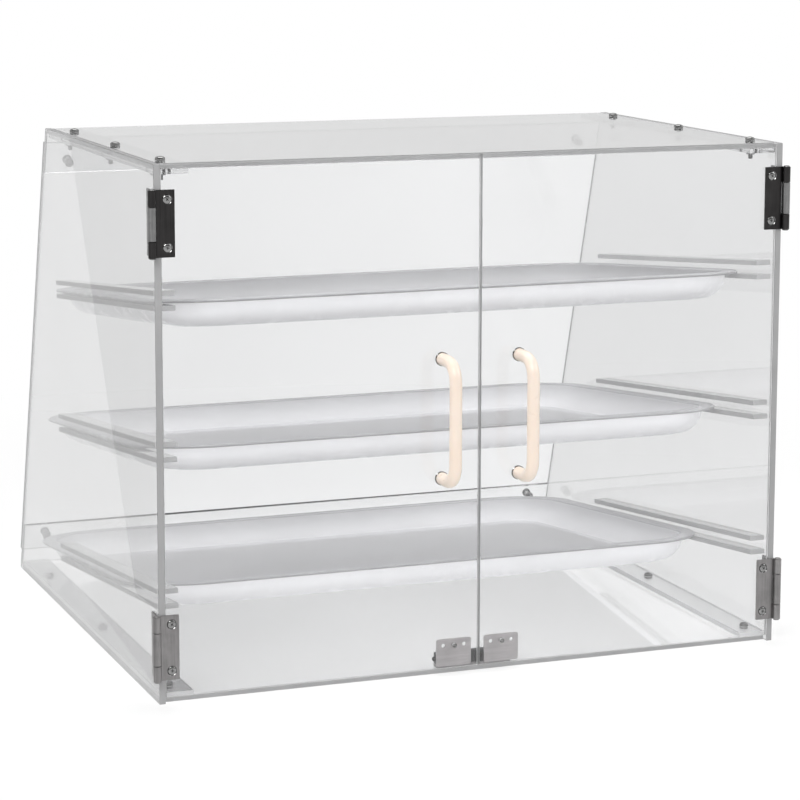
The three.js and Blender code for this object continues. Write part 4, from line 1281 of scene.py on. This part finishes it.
def reflection_card(name):
    """A glowing grey board flat on the floor, left of the case, which only mirror images show: a painted
    reflection, darker than the floor, with a slanted edge in the left side panel.
    """
    bm = bmesh.new()
    bm.faces.new([bm.verts.new((x, y, CARD_HEIGHT)) for x, y in CARD_CORNERS])
    obj = add_object(name, to_mesh(bm, name))
    for kind in ("camera", "diffuse", "transmission", "volume_scatter", "shadow"):
        setattr(obj, f"visible_{kind}", False)
    s = Surface(name)
    s.set(Base_Color=grey(0), Specular_IOR_Level=0, Emission_Color=grey(1), Emission_Strength=REFLECTION_CARD_GLOW)
    obj.data.materials.append(s.material)


def mirrored(tree):
    """1 for what is only seen mirrored in a surface, 0 for all else."""
    path = tree.add("LightPath").outputs
    return tree.math("SUBTRACT", path["Is Glossy Ray"], path["Is Transmission Ray"], clamp=True)


def sky():
    """White all round. In mirror images the walls are greyer, with dark and bright bands above them."""
    world = bpy.data.worlds.new("studio")
    bpy.context.scene.world = world
    tree = Tree(world)
    tree.nodes.clear()
    parts = tree.add("SeparateXYZ", Vector=tree.add("TexCoord").outputs["Generated"])
    bands = tree.add("ValToRGB", Fac=parts.outputs["Z"])
    stops = bands.color_ramp.elements
    for index, (height, tone) in enumerate(MIRRORED_BANDS):
        stop = stops[index] if index < len(stops) else stops.new(height)
        stop.position = height
        stop.color = grey(tone)
    studio = tree.colours(mirrored(tree), grey(1), bands.outputs["Color"])
    light = tree.add("Background", Strength=SKY_LIGHT).outputs["Background"]
    seen = tree.add("Background", Color=studio).outputs["Background"]
    tree.add("OutputWorld", Surface=tree.shaders(seen_directly(tree), light, seen))


def lamp(name, place, size, power):
    data = bpy.data.lights.new(name, "AREA")
    data.shape = "RECTANGLE"
    data.size, data.size_y = size
    data.energy = power
    obj = add_object(name, data)
    obj.location = place
    obj.rotation_mode = "QUATERNION"
    obj.rotation_quaternion = (Vector(LAMP_AIM) - obj.location).to_track_quat("-Z", "Y")


floor()
reflection_card("left_reflection_card")
sky()
for lamp_name, lamp_values in LAMPS.items():
    lamp(lamp_name, *lamp_values)


# Camera, at the photograph's viewing angle

PHOTO_WIDTH_PX = 800
FOCAL_LENGTH_PX = 2751
SENSOR_WIDTH = 36
CAMERA_SHIFT = -0.1
CAMERA_PLACE = (-0.8257, -2.2214, 0.6195)
# In degrees: the turn around the object, the look down and the roll
CAMERA_TURN = -20.87
CAMERA_DOWN = 8.80
CAMERA_ROLL = 0.105


def camera():
    data = bpy.data.cameras.new("camera")
    data.sensor_width = SENSOR_WIDTH
    data.lens = FOCAL_LENGTH_PX / PHOTO_WIDTH_PX * SENSOR_WIDTH
    data.shift_y = CAMERA_SHIFT
    obj = add_object("camera", data)
    obj.matrix_world = (Matrix.Translation(CAMERA_PLACE) @ turn(CAMERA_TURN, "Z")
                        @ turn(90 - CAMERA_DOWN, "X") @ turn(CAMERA_ROLL, "Z"))
    bpy.context.scene.camera = obj


camera()

# Clear surfaces that a ray can pass or mirror in, and that a shadow ray can pass
CLEAR_BOUNCES = 48
GLOSSY_BOUNCES = 24
SHADOW_LAYERS = 64
cycles = bpy.context.scene.cycles
cycles.max_bounces = CLEAR_BOUNCES
cycles.transmission_bounces = CLEAR_BOUNCES
cycles.glossy_bounces = GLOSSY_BOUNCES
cycles.transparent_max_bounces = SHADOW_LAYERS
view = bpy.context.scene.view_settings
view.view_transform = "Standard"
